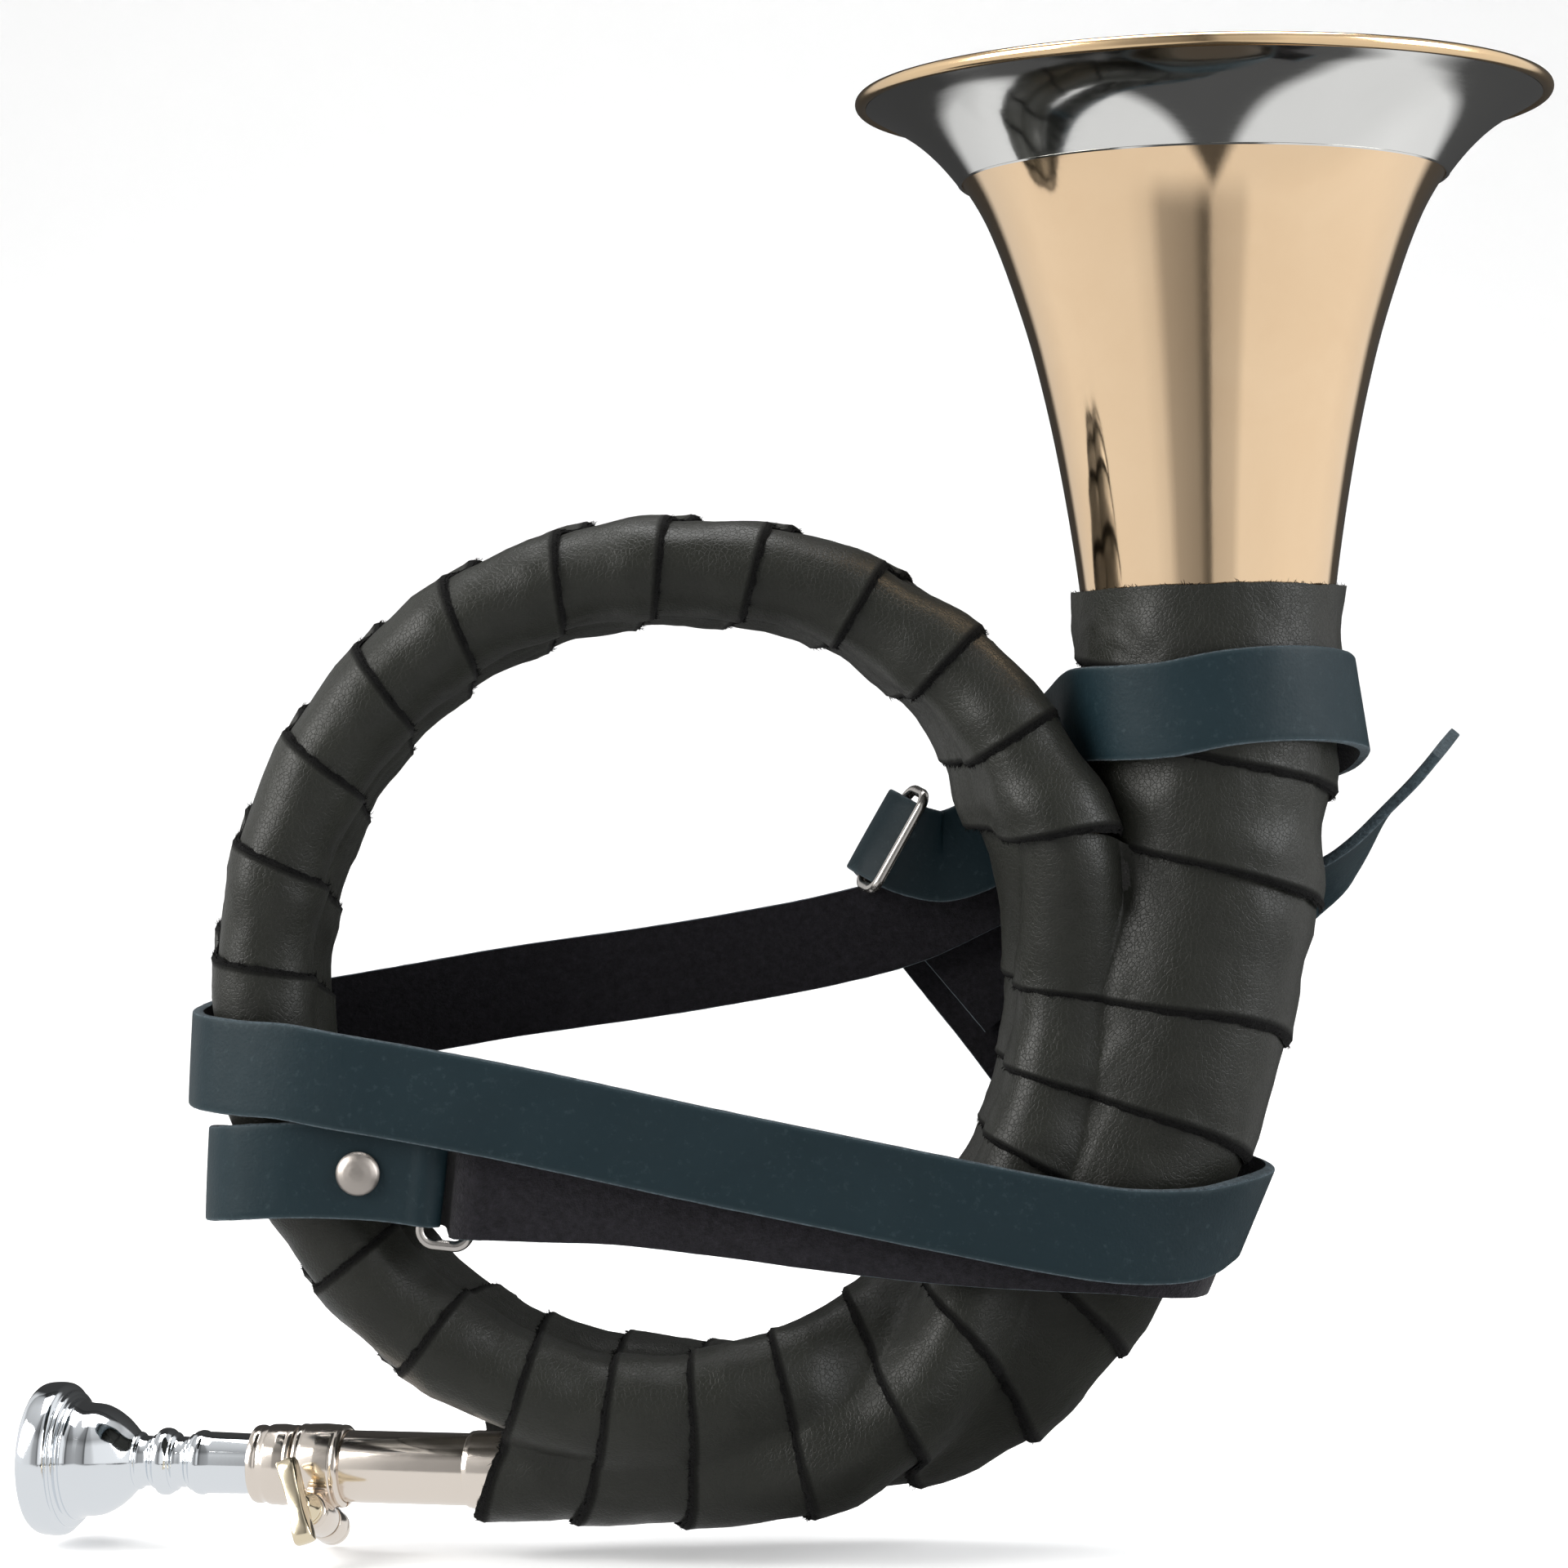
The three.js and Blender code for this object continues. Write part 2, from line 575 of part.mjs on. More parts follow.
// lower strap: buckled loop round the left of the coil, across the front and
// round the right side, up behind the bell branch to the free tail
const LOWER = [
  ...facing([0.12, 0, 0.99], [
    [-61.5, -19.3, -31.1], [-49.1, -19.3, -31.8], [-45.0, -18.3, -32.6],
    [-42.0, -17.95, -32.8], [-39.8, -20.3, -32.9], [-42.0, -22.65, -32.6],
    [-45.0, -22.3, -32.1], [-50.2, -21.8, -31.5], [-60.1, -21.7, -30.9],
  ]),
  ...facing([0.05, 0, 1], [
    [-69.0, -21.0, -30.9], [-76.0, -18.2, -31.4], [-79.9, -12.8, -32.0],
    [-81.6, -5, -32.6], [-82.2, 5, -33.2], [-81.2, 13, -34.0],
    [-77.6, 18.6, -34.6], [-71.0, 20.0, -35.2], [-60.0, 20.0, -36.0],
  ]),
  ...facing([0.1, 0, 0.99], [
    [-50, 20.0, -36.2], [-43.4, 17.6, -36.2], [-39.9, 9, -36.0],
    [-38.0, -6, -35.5], [-36.9, -16.5, -35.0], [-36.1, -21.6, -34.9],
    [-33.4, -23.1, -34.9], [-30.0, -22.3, -35.1], [-22.0, -21.4, -35.6],
  ]),
  ...facing([0.14, 0, 0.99], [
    [-9, -21.2, -36.2], [10, -21.0, -38.6], [28.2, -21.0, -41.3],
    [50, -21.0, -44.0], [68, -20.6, -45.4],
  ]),
  ...facing([0.38, 0, 0.925], [
    [79, -19.2, -46.2], [87.6, -16.4, -47.4], [95.6, -11.0, -48.2], [98.8, 0, -48.4],
  ]),
  [95.8, 10.4, -46.8, 0.42, 0, 0.9],
  [89.6, 16.8, -42.2, 0.55, 0, 0.84],
  [87.5, 18.6, -32, 0.9, 0, 0.3],
  ...facing([0.93, 0, -0.36], [[90.5, 20.4, -18], [96.5, 21.6, -4], [104, 22.6, 5]]),
  [113.0, 23.5, 12.4, 0.7, 0.5, -0.5],
  [121.4, 17.5, 18.4, 0.3, 0.9, -0.3],
  ...facing([0.1, 0.99, -0.05], [[128.8, 10, 27.3], [135.6, 4, 35.0], [140.6, 0, 41.5]]),
];

const LONG = [
  // behind the coil and round the bar of the rear buckle
  [64.5, 22.6, -5.5, 0.72, 0, 0.69], [57.5, 22.6, 3.0, 0.7, 0, 0.7],
  [50.1, 22.7, 12.0, 0.66, 0, 0.75], [44.6, 22.5, 19.2, 0.6, 0, 0.8],
  [41.6, 21.6, 23.2, 0.54, 0, 0.84],
  ...facing([0.5, 0, 0.866], [
    [39.6, 20.7, 25.4], [38.2, 19.8, 26.5], [37.6, 18.0, 26.9],
    [38.3, 16.2, 26.5], [40.2, 14.3, 25.4], [42.9, 12.7, 23.9],
  ]),
  [46.6, 13.4, 22.6, 0.42, 0, 0.9], [50.5, 14.6, 22.0, 0.2, 0, 0.98],
  // up to the bell
  [57.5, 15.4, 24.4, -0.15, 0, 0.98], [63.5, 15.6, 29.4, -0.4, 0, 0.9],
  [68.2, 13.6, 37.0, -0.36, 0, 0.93], [71.8, 7.6, 44.2, -0.15, 0, 0.99],
  // round the foot of the bell: left, front, right, back
  [73.1, -1, 46.8, -0.03, 0, 1], [75.4, -10.6, 47.4, -0.06, 0, 1],
  [80.6, -18.8, 47.4, -0.12, 0, 0.99], [88.2, -23.6, 47.8, -0.12, 0, 0.98],
  [98.0, -25.2, 49.6, -0.05, 0, 1], [108.0, -23.0, 50.4, 0, 0, 1],
  [117.2, -16.8, 50.2, -0.08, 0, 1], [122.8, -8.6, 49.2, -0.14, 0, 0.99],
  [124.5, 1, 47.6, -0.16, 0, 0.99], [122.8, 11, 44.9, -0.1, 0, 0.99],
  [115.8, 19.6, 42.2, -0.2, 0, 0.96], [106.2, 24.6, 38.4, -0.35, 0, 0.93],
  [96, 25.4, 34.0, -0.4, 0, 0.9],
  // across the back of the coil
  [84, 23.6, 28.8, -0.4, 0, 0.9], [70, 20.4, 22.4, -0.4, 0, 0.9],
  [57, 18.9, 16.4, -0.36, 0, 0.92], [43.9, 19.1, 10.5, -0.3, 0, 0.95],
  [30.0, 19.4, 6.9, -0.2, 0, 0.97], [15.6, 20, 4.2, -0.16, 0, 0.98],
  [-3.0, 20.4, 1.3, -0.13, 0, 0.99], [-29.6, 20.4, -2.2, -0.13, 0, 0.99],
  [-48, 20.2, -5.2, -0.12, 0, 0.99], [-63, 19.9, -7.6, -0.1, 0, 0.99],
  // round the left
  [-74.4, 19.3, -9.4, 0, 0, 1], [-81.4, 14.8, -10.6, 0, 0, 1],
  [-84.5, 6, -11.6, 0.03, 0, 1], [-84.3, -5, -12.0, 0.06, 0, 1],
  [-80.8, -14.8, -12.4, 0.08, 0, 1], [-74.4, -19.6, -13.0, 0.1, 0, 0.99],
  [-67, -22.9, -13.4, 0.13, 0, 0.99],
  // across the front
  [-58.3, -24.7, -15.0, 0.16, 0, 0.98], [-46, -25.4, -17.2, 0.18, 0, 0.98],
  [-29.9, -25.6, -20.4, 0.2, 0, 0.98], [-13.1, -25.2, -24.2, 0.21, 0, 0.97],
  [4.4, -24.6, -28.3, 0.21, 0, 0.97], [26.1, -24.0, -33.1, 0.21, 0, 0.97],
  [47.2, -23.7, -37.7, 0.21, 0, 0.97], [65.7, -23.6, -41.6, 0.2, 0, 0.98],
  [80, -22.6, -44.0, 0.22, 0, 0.97],
  // round the right
  [92.4, -19.0, -44.2, 0.3, 0, 0.95], [100.6, -11.4, -42.6, 0.37, 0, 0.93],
  [104.7, 0, -41.8, 0.4, 0, 0.915], [102.8, 12.0, -41.0, 0.45, 0, 0.89],
  [94.4, 21.2, -39.6, 0.52, 0, 0.85],
  // up behind the coil to the rear buckle
  [81.0, 23.8, -35.5, 0.75, 0, 0.66], [70, 25.2, -20.5, 0.75, 0, 0.62],
  [60, 25.8, -7.0, 0.72, 0, 0.65], [50.6, 25.9, 5.0, 0.66, 0, 0.7],
  [43.0, 25.6, 15.0, 0.62, 0, 0.75],
];

function ribbon(controls) {
  const centres = controls.map(([x, y, z]) => vec(x, y, z));
  const directions = controls.map((control) => vec(...control.slice(3)));
  const curve = new THREE.CatmullRomCurve3(centres, false, 'centripetal');
  const spans = controls.length - 1;
  const rings = [];
  for (let i = 0; i <= spans * STRAP_STEPS; i++) {
    const u = i / (spans * STRAP_STEPS);
    const centre = curve.getPoint(u);
    const tangent = curve.getTangent(u);
    const span = Math.min(spans - 1, Math.floor(u * spans));
    const blend = directions[span].clone().lerp(directions[span + 1], u * spans - span);
    const across = squareTo(tangent, blend);
    const normal = tangent.clone().cross(across).normalize();
    rings.push([[-1, -1], [1, -1], [1, 1], [-1, 1]].map(([side, face]) => centre.clone()
      .addScaledVector(across, side * STRAP_W / 2)
      .addScaledVector(normal, face * STRAP_T / 2)));
  }
  return skin(rings, false);
}

const rivetAt = (y) => vec(-53.8, y, -31.4);
// [radius, distance forwards from the rivet's seat]
const RIVET = [
  [0.001, 2.9], [2.4, 2.55], [3.7, 1.75], [3.9, 1.2], [3.9, 0.95],
  [1.5, 0.95], [1.5, -1.2], [0.001, -1.2],
];

function addLowerStrap() {
  const hole = toSolid(rod(2, rivetAt(-30), rivetAt(-15), 12));
  put('strap_lower', fromSolid(toSolid(ribbon(LOWER)).subtract(hole)), STRAP);
}

// ---- buckles ------------------------------------------------------------
const BUCKLE_W = 8.6;
const WIRE_R = 0.95;
const WIRE_SIDES = 8;
const WIRE_CORNER_R = 2.4;

// rounded rectangle of round wire
function addBuckle(name, centre, wide, tall, height) {
  const x = BUCKLE_W / 2 - WIRE_CORNER_R;
  const y = height / 2 - WIRE_CORNER_R;
  const corners = [[x, y, 0], [-x, y, 90], [-x, -y, 180], [x, -y, 270]];
  const points = corners.flatMap(([cx, cy, start]) => [0, 30, 60, 90].map((turn) => {
    const angle = degToRad(start + turn);
    return centre.clone()
      .addScaledVector(wide, cx + WIRE_CORNER_R * Math.cos(angle))
      .addScaledVector(tall, cy + WIRE_CORNER_R * Math.sin(angle));
  }));
  const normal = wide.clone().cross(tall).normalize();
  const count = points.length;
  const rings = points.map((point, i) => {
    const next = points[(i + 1) % count];
    const tangent = next.clone().sub(points[(i - 1 + count) % count]).normalize();
    const side = tangent.cross(normal).normalize();
    return Array.from({ length: WIRE_SIDES }, (_, k) => {
      const angle = k / WIRE_SIDES * Math.PI * 2;
      return point.clone()
        .addScaledVector(side, Math.cos(angle) * WIRE_R)
        .addScaledVector(normal, Math.sin(angle) * WIRE_R);
    });
  });
  put(name, skin(rings, true), STEEL);
}

function addBuckles() {
  const frontWide = vec(0.99, 0, -0.12).normalize();
  const frontTall = vec(0.12, 0, 0.99).normalize();
  addBuckle('buckle_front_frame', vec(-38.0, -20.3, -33.6), frontWide, frontTall, 21.8);
  const rearTall = vec(0.5, 0, 0.866).normalize();
  const rearWide = squareTo(rearTall, vec(0.30, -0.94, -0.17));
  // the frame is set out from the middle of its forward bar
  const rearCentre = vec(42.4, 9.9, 24.5).addScaledVector(rearWide, -BUCKLE_W / 2);
  addBuckle('buckle_rear_frame', rearCentre, rearWide, rearTall, 19.9);
}

// ---- assembly -----------------------------------------------------------
put('outer_slide_tube', slidePipe(OUTER_SLIDE, 0.5, 20), NICKEL);
addCoilTubes();
put('lead_coupling', slidePipe(COUPLING, 0.5, 16), NICKEL);
addFlare();
addGarland();
addRim();
put('bell_branch_ferrule', onBell(BELL_FERRULE, 30), NICKEL);
addRingWrap();
addLowerWrap();
addBellWrap();
put('receiver_tube', slidePipe(RECEIVER, 0.55, 20), NICKEL);
put('receiver_ferrule', onSlide(RECEIVER_FERRULE, 24), NICKEL);
put('mouthpiece', onSlide(MOUTHPIECE, 20), CHROME);
addClampCollar();
put('thrust_washer', placed(lathe(WASHER, 16), BOSS, SCREW_AXIS), BRASS);
addThumbScrew();
addBrace('winding_brace_top', 95);
addBrace('winding_brace_left', 175);
addLowerStrap();
put('strap_long', ribbon(LONG), STRAP);
put('rivet_cap', placed(lathe(RIVET, 20), rivetAt(-22.1), vec(0, -1, 0)), STEEL);
addBuckles();

export default group;
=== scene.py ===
# A coiled horn: leather-wrapped tube wound into an upright ring, with a bell, a detachable
# mouthpiece on a clamped slide, and two leather straps with buckles.
# The ring stands in the x-z plane. x runs right, z up and -y towards the camera. The bell opens
# upwards at the right; the mouthpiece leaves the bottom of the ring towards the left.
# Shapes are in millimetres from the coil centre. Angles round the coil are in degrees from +x
# towards +z, and count on past 360 along the tube.
import math
import bmesh
import bpy
import numpy as np
from mathutils import Matrix, Vector, noise


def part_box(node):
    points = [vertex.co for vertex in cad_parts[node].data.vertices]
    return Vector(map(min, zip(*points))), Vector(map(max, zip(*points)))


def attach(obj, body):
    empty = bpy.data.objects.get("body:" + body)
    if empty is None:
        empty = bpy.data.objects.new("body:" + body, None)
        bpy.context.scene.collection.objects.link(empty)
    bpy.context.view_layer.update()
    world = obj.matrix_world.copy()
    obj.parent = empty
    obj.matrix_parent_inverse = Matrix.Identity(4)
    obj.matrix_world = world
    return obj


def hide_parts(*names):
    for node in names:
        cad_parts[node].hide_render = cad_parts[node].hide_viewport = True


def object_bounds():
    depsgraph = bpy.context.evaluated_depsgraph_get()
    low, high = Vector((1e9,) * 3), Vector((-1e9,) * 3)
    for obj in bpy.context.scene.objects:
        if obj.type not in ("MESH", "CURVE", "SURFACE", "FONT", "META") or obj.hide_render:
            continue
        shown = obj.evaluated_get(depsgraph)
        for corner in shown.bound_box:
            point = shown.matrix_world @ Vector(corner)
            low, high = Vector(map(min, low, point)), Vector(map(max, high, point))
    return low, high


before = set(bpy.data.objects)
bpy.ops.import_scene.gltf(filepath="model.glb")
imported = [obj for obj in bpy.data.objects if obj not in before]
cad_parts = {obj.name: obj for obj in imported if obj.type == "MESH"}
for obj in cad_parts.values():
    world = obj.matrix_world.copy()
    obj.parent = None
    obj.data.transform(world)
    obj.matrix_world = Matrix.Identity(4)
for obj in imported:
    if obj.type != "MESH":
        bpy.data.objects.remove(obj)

cad_low, cad_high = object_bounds()

# ------------------------------------------------------------------ frame
BELL_X, BELL_TOP = 98.0, 159.0
BELL_AXIS = np.array([BELL_X, 0, 0])
UP = np.array([0, 0, 1.0])
# the CAD rim of the bell fixes the coil centre in the row frame
rim_low, rim_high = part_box("bell_rim")
ORIGIN = np.array([(rim_low.x + rim_high.x) * 500 - BELL_X,
                   (rim_low.y + rim_high.y) * 500,
                   rim_high.z * 1000 - BELL_TOP])


def row(points):
    """millimetres from the coil centre to metres in the row frame"""
    return (np.asarray(points, float) + ORIGIN) / 1000.0


# ------------------------------------------------------------------ small maths
def perlin(x, y, z):
    return noise.noise((x, y, z))


def ease(start, end, x):
    """0 before start, 1 after end, smooth between"""
    part = np.clip((np.asarray(x, float) - start) / (end - start), 0, 1)
    return part * part * (3 - 2 * part)


def hump(x, width):
    return np.exp(-(x / width) ** 2)


def unit(vectors):
    vectors = np.asarray(vectors, float)
    return vectors / np.maximum(np.linalg.norm(vectors, axis=-1, keepdims=True), 1e-9)


def square_to(vector, axis):
    """unit vector nearest to vector at right angles to a unit axis"""
    return unit(vector - axis * np.dot(vector, axis))


def tangents(points):
    return unit(np.gradient(points, axis=0))


def run_length(points):
    return np.concatenate([[0], np.cumsum(np.linalg.norm(np.diff(points, axis=0), axis=1))])


def spline(points, per=6):
    """centripetal Catmull-Rom curve with per steps between points"""
    pts = np.asarray(points, float)
    pts = np.vstack([2 * pts[0] - pts[1], pts, 2 * pts[-1] - pts[-2]])
    out = []
    for i in range(1, len(pts) - 2):
        before, start, end, after = pts[i - 1:i + 3]
        gap0, gap1, gap2 = (max(np.dot(gap, gap), 1e-12) ** 0.25
                            for gap in (start - before, end - start, after - end))
        slope0 = ((start - before) / gap0 - (end - before) / (gap0 + gap1)
                  + (end - start) / gap1) * gap1
        slope1 = ((end - start) / gap1 - (after - start) / (gap1 + gap2)
                  + (after - end) / gap2) * gap1
        for j in range(per):
            part = j / per
            out.append(start + slope0 * part
                       + (-3 * start + 3 * end - 2 * slope0 - slope1) * part * part
                       + (2 * start - 2 * end + slope0 + slope1) * part ** 3)
    out.append(pts[-2])
    return np.array(out)


# ------------------------------------------------------------------ meshes
def edit_mesh(mesh, change):
    work = bmesh.new()
    work.from_mesh(mesh)
    change(work)
    work.to_mesh(mesh)
    work.free()


def recalc_normals(mesh):
    edit_mesh(mesh, lambda work: bmesh.ops.recalc_face_normals(work, faces=work.faces))


def sharpen(mesh, degrees):
    """mark edges that turn by more than the angle as sharp"""
    def change(work):
        for edge in work.edges:
            if len(edge.link_faces) == 2 and edge.calc_face_angle(0.0) > math.radians(degrees):
                edge.smooth = False
    edit_mesh(mesh, change)


def build(name, shape, mats, body, slot, *nodes, face_mats=None, uvs=None, recalc=False,
          crease=None):
    """object from (verts, faces), riding on a body and standing in for CAD nodes"""
    verts, faces = shape
    mesh = bpy.data.meshes.new(name)
    mesh.from_pydata(row(verts).tolist(), [], faces)
    for mat in mats:
        mesh.materials.append(mat)
    if face_mats is not None:
        mesh.polygons.foreach_set("material_index", np.asarray(face_mats, dtype=np.int32))
    mesh.polygons.foreach_set("use_smooth", np.ones(len(mesh.polygons), dtype=bool))
    if uvs is not None:
        layer = mesh.uv_layers.new(name="UVMap")
        layer.data.foreach_set("uv", np.asarray(uvs, dtype=np.float32).ravel())
    mesh.update()
    thing = bpy.data.objects.new(name, mesh)
    bpy.context.scene.collection.objects.link(thing)
    if recalc:
        recalc_normals(mesh)
    if crease is not None:
        sharpen(mesh, crease)
    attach(thing, body)
    if nodes:
        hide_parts(*nodes)


def grid(rows, cols, close=False):
    """quads over rows of closed rings, and each corner's (row, column) before wrapping"""
    faces, corners = [], []
    for i in range(rows if close else rows - 1):
        for j in range(cols):
            quad = [(i, j), (i + 1, j), (i + 1, j + 1), (i, j + 1)]
            corners.append(quad)
            faces.append([r % rows * cols + c % cols for r, c in quad])
    return faces, corners


def outward(verts, faces):
    """faces turned so that the enclosed volume is positive"""
    volume = 0.0
    for face in faces:
        for k in range(1, len(face) - 1):
            volume += np.dot(verts[face[0]], np.cross(verts[face[k]], verts[face[k + 1]]))
    return faces if volume > 0 else [face[::-1] for face in faces]


def skin(rings, closed=False):
    """faces over a stack of rings; an open stack gets a fan at each end"""
    count, size = rings.shape[:2]
    verts = rings.reshape(-1, 3)
    faces, _ = grid(count, size, closed)
    if not closed:
        for first, step in ((0, -1), ((count - 1) * size, 1)):
            hub = len(verts)
            verts = np.vstack([verts, verts[first:first + size].mean(axis=0)])
            for j in range(size):
                faces.append([first + j, first + (j + 1) % size][::step] + [hub])
    return verts, outward(verts, faces)


def basis(axis):
    axis = unit(axis)
    helper = np.array([0, 1.0, 0]) if abs(axis[1]) < 0.8 else np.array([1.0, 0, 0])
    side = square_to(helper, axis)
    return side, np.cross(axis, side), axis


def turned(profile, origin, axis, segments, start=0.0, end=360.0):
    """closed profile of (radius, height) turned about an axis; a part turn gets end faces"""
    side, other, axis = basis(axis)
    full = abs(end - start - 360) < 1e-6
    count = segments if full else segments + 1
    outline = np.asarray(profile, float)
    size = len(outline)
    rings = []
    for i in range(count):
        turn = math.radians(start + (end - start) * i / segments)
        spoke = side * math.cos(turn) + other * math.sin(turn)
        rings.append(np.asarray(origin, float) + spoke * outline[:, 0:1] + axis * outline[:, 1:2])
    verts = np.vstack(rings)
    faces, _ = grid(count, size, full)
    if not full:
        last = (count - 1) * size
        faces += [list(range(size)), list(range(last, last + size))[::-1]]
    # points on the axis are merged into the one on the first ring
    on_axis = outline[:, 0] <= 1e-3
    merged = []
    for face in faces:
        face = [k % size if on_axis[k % size] else k for k in face]
        face = [k for i, k in enumerate(face) if k != face[(i + 1) % len(face)]]
        if len(set(face)) >= 3:
            merged.append(face)
    used = sorted({k for face in merged for k in face})
    place = {k: i for i, k in enumerate(used)}
    verts = verts[used]
    return verts, outward(verts, [[place[k] for k in face] for face in merged])


def rounded(profile, radius):
    """closed profile with its corners eased, except points on the axis"""
    points = [np.asarray(p, float) for p in profile]
    steps = 3
    out = []
    for i, corner in enumerate(points):
        if corner[0] < 1e-3:
            out.append(corner)
            continue
        back, ahead = points[i - 1] - corner, points[(i + 1) % len(points)] - corner
        back_len, ahead_len = np.linalg.norm(back), np.linalg.norm(ahead)
        cut = min(radius, back_len * 0.45, ahead_len * 0.45)
        start, end = corner + back / back_len * cut, corner + ahead / ahead_len * cut
        for j in range(steps + 1):
            part = j / steps
            out.append((1 - part) ** 2 * start + 2 * part * (1 - part) * corner
                       + part * part * end)
    return np.array(out)


def frames_of(points):
    """two directions across a line of points, carried along without twist"""
    tangent = tangents(points)
    side = [square_to(np.array([0, 1.0, 0]), tangent[0])]
    for direction in tangent[1:]:
        side.append(square_to(side[-1], direction))
    side = np.array(side)
    return side, np.cross(tangent, side)


def round_rings(points, radii, side, other, count):
    turn = np.arange(count) / count * 2 * math.pi
    spokes = (np.cos(turn)[None, :, None] * side[:, None, :]
              + np.sin(turn)[None, :, None] * other[:, None, :])
    return points[:, None, :] + radii[:, None, None] * spokes


def wire(points, radii, count, closed=False):
    """round wire along points, open with capped ends or closed in a flat loop"""
    points = np.asarray(points, float)
    radii = np.broadcast_to(np.asarray(radii, float), (len(points),))
    if closed:
        tangent = unit(np.roll(points, -1, 0) - np.roll(points, 1, 0))
        normal = unit(np.cross(points[1] - points[0], points[len(points) // 3] - points[0]))
        side = np.broadcast_to(normal, points.shape)
        other = np.cross(tangent, side)
    else:
        side, other = frames_of(points)
    return skin(round_rings(points, radii, side, other, count), closed)


def hollow(points, radii, wall, count):
    """tube along points with both ends open"""
    side, other = frames_of(points)
    outer = round_rings(points, radii, side, other, count)
    inner = round_rings(points, radii - wall, side, other, count)
    return skin(np.concatenate([outer, inner[::-1]]), closed=True)


def joined(parts):
    verts, faces, start = [], [], 0
    for part_verts, part_faces in parts:
        verts.append(part_verts)
        faces += [[i + start for i in face] for face in part_faces]
        start += len(part_verts)
    return np.vstack(verts), faces


# ------------------------------------------------------------------ shader helpers
class Nodes:
    """adds and links nodes in one shader tree; values may be numbers, colours or sockets"""

    def __init__(self, tree):
        self.tree = tree
        tree.nodes.clear()
        self.coords = self.new("TexCoord").outputs

    def new(self, kind, **settings):
        node = self.tree.nodes.new("ShaderNode" + kind)
        for key, value in settings.items():
            setattr(node, key, value)
        return node

    def feed(self, socket, value):
        if isinstance(value, bpy.types.NodeSocket):
            self.tree.links.new(value, socket)
        elif isinstance(value, tuple):
            socket.default_value = (*value, 1)
        else:
            socket.default_value = value

    def coord(self, scale=(1, 1, 1), space="Object", rot=(0, 0, 0)):
        node = self.new("Mapping")
        node.inputs["Scale"].default_value = scale
        node.inputs["Rotation"].default_value = rot
        self.feed(node.inputs["Vector"], self.coords[space])
        return node.outputs[0]

    def axes(self, space):
        """x, y and z of a texture coordinate"""
        node = self.new("SeparateXYZ")
        self.feed(node.inputs[0], self.coords[space])
        return node.outputs

    def noise(self, vector, scale, detail=4, rough=0.55, warp=0.0):
        node = self.new("TexNoise")
        for key, value in (("Scale", scale), ("Detail", detail), ("Roughness", rough),
                           ("Distortion", warp), ("Vector", vector)):
            self.feed(node.inputs[key], value)
        return node.outputs["Fac"]

    def voronoi(self, vector, scale, feature="F1"):
        node = self.new("TexVoronoi", feature=feature)
        self.feed(node.inputs["Scale"], scale)
        self.feed(node.inputs["Vector"], vector)
        return node.outputs["Distance"]

    def ramp(self, factor, stops):
        """colour ramp; stops are (position, grey or colour)"""
        node = self.new("ValToRGB")
        elements = node.color_ramp.elements
        while len(elements) > 1:
            elements.remove(elements[-1])
        for i, (position, color) in enumerate(stops):
            if not isinstance(color, tuple):
                color = (color, color, color)
            element = elements.new(position) if i else elements[0]
            element.position = position
            element.color = (*color, 1)
        self.feed(node.inputs[0], factor)
        return node.outputs[0]

    def calc(self, operation, *values):
        node = self.new("Math", operation=operation)
        for socket, value in zip(node.inputs, values):
            self.feed(socket, value)
        return node.outputs[0]

    def jitter(self, value, wobble, amount):
        """value shifted to and fro by a noise"""
        shift = self.calc("MULTIPLY", self.calc("SUBTRACT", wobble, 0.5), amount)
        return self.calc("ADD", value, shift)

    def azimuth(self, x, y):
        """0 to 1 round the vertical, a half towards the camera, less to its left"""
        angle = self.calc("ARCTAN2", x, self.calc("MULTIPLY", y, -1.0))
        return self.calc("ADD", self.calc("DIVIDE", angle, 2 * math.pi), 0.5)

    def mix(self, factor, first, second, mode="MIX"):
        node = self.new("Mix", data_type="RGBA", blend_type=mode)
        for index, value in ((0, factor), (6, first), (7, second)):
            self.feed(node.inputs[index], value)
        return node.outputs[2]

    def bump(self, height, depth, strength, over=None):
        node = self.new("Bump")
        self.feed(node.inputs["Strength"], strength)
        self.feed(node.inputs["Distance"], depth)
        self.feed(node.inputs["Height"], height)
        if over is not None:
            self.feed(node.inputs["Normal"], over)
        return node.outputs[0]

    def emitter(self, kind, color, strength):
        node = self.new(kind)
        self.feed(node.inputs["Color"], color)
        self.feed(node.inputs["Strength"], strength)
        return node.outputs[0]

    def choose(self, factor, off, on):
        """shader mix: off where the factor is 0, on where it is 1"""
        node = self.new("MixShader")
        for socket, value in zip(node.inputs, (factor, off, on)):
            self.feed(socket, value)
        return node.outputs[0]


class Mat(Nodes):
    """material with one Principled shader"""
    SOCKETS = {"color": "Base Color", "rough": "Roughness", "metal": "Metallic",
               "normal": "Normal", "sheen": "Sheen Weight", "sheen_rough": "Sheen Roughness",
               "sheen_tint": "Sheen Tint", "spec": "Specular IOR Level",
               "glow": "Emission Strength", "glow_color": "Emission Color"}

    def __init__(self, name):
        self.mat = bpy.data.materials.new(name)
        self.mat.use_nodes = True
        super().__init__(self.mat.node_tree)
        self.surface = self.new("OutputMaterial").inputs["Surface"]
        self.shader = self.new("BsdfPrincipled")
        self.feed(self.surface, self.shader.outputs[0])

    def finish(self, **values):
        for key, value in values.items():
            self.feed(self.shader.inputs[self.SOCKETS[key]], value)
        return self.mat


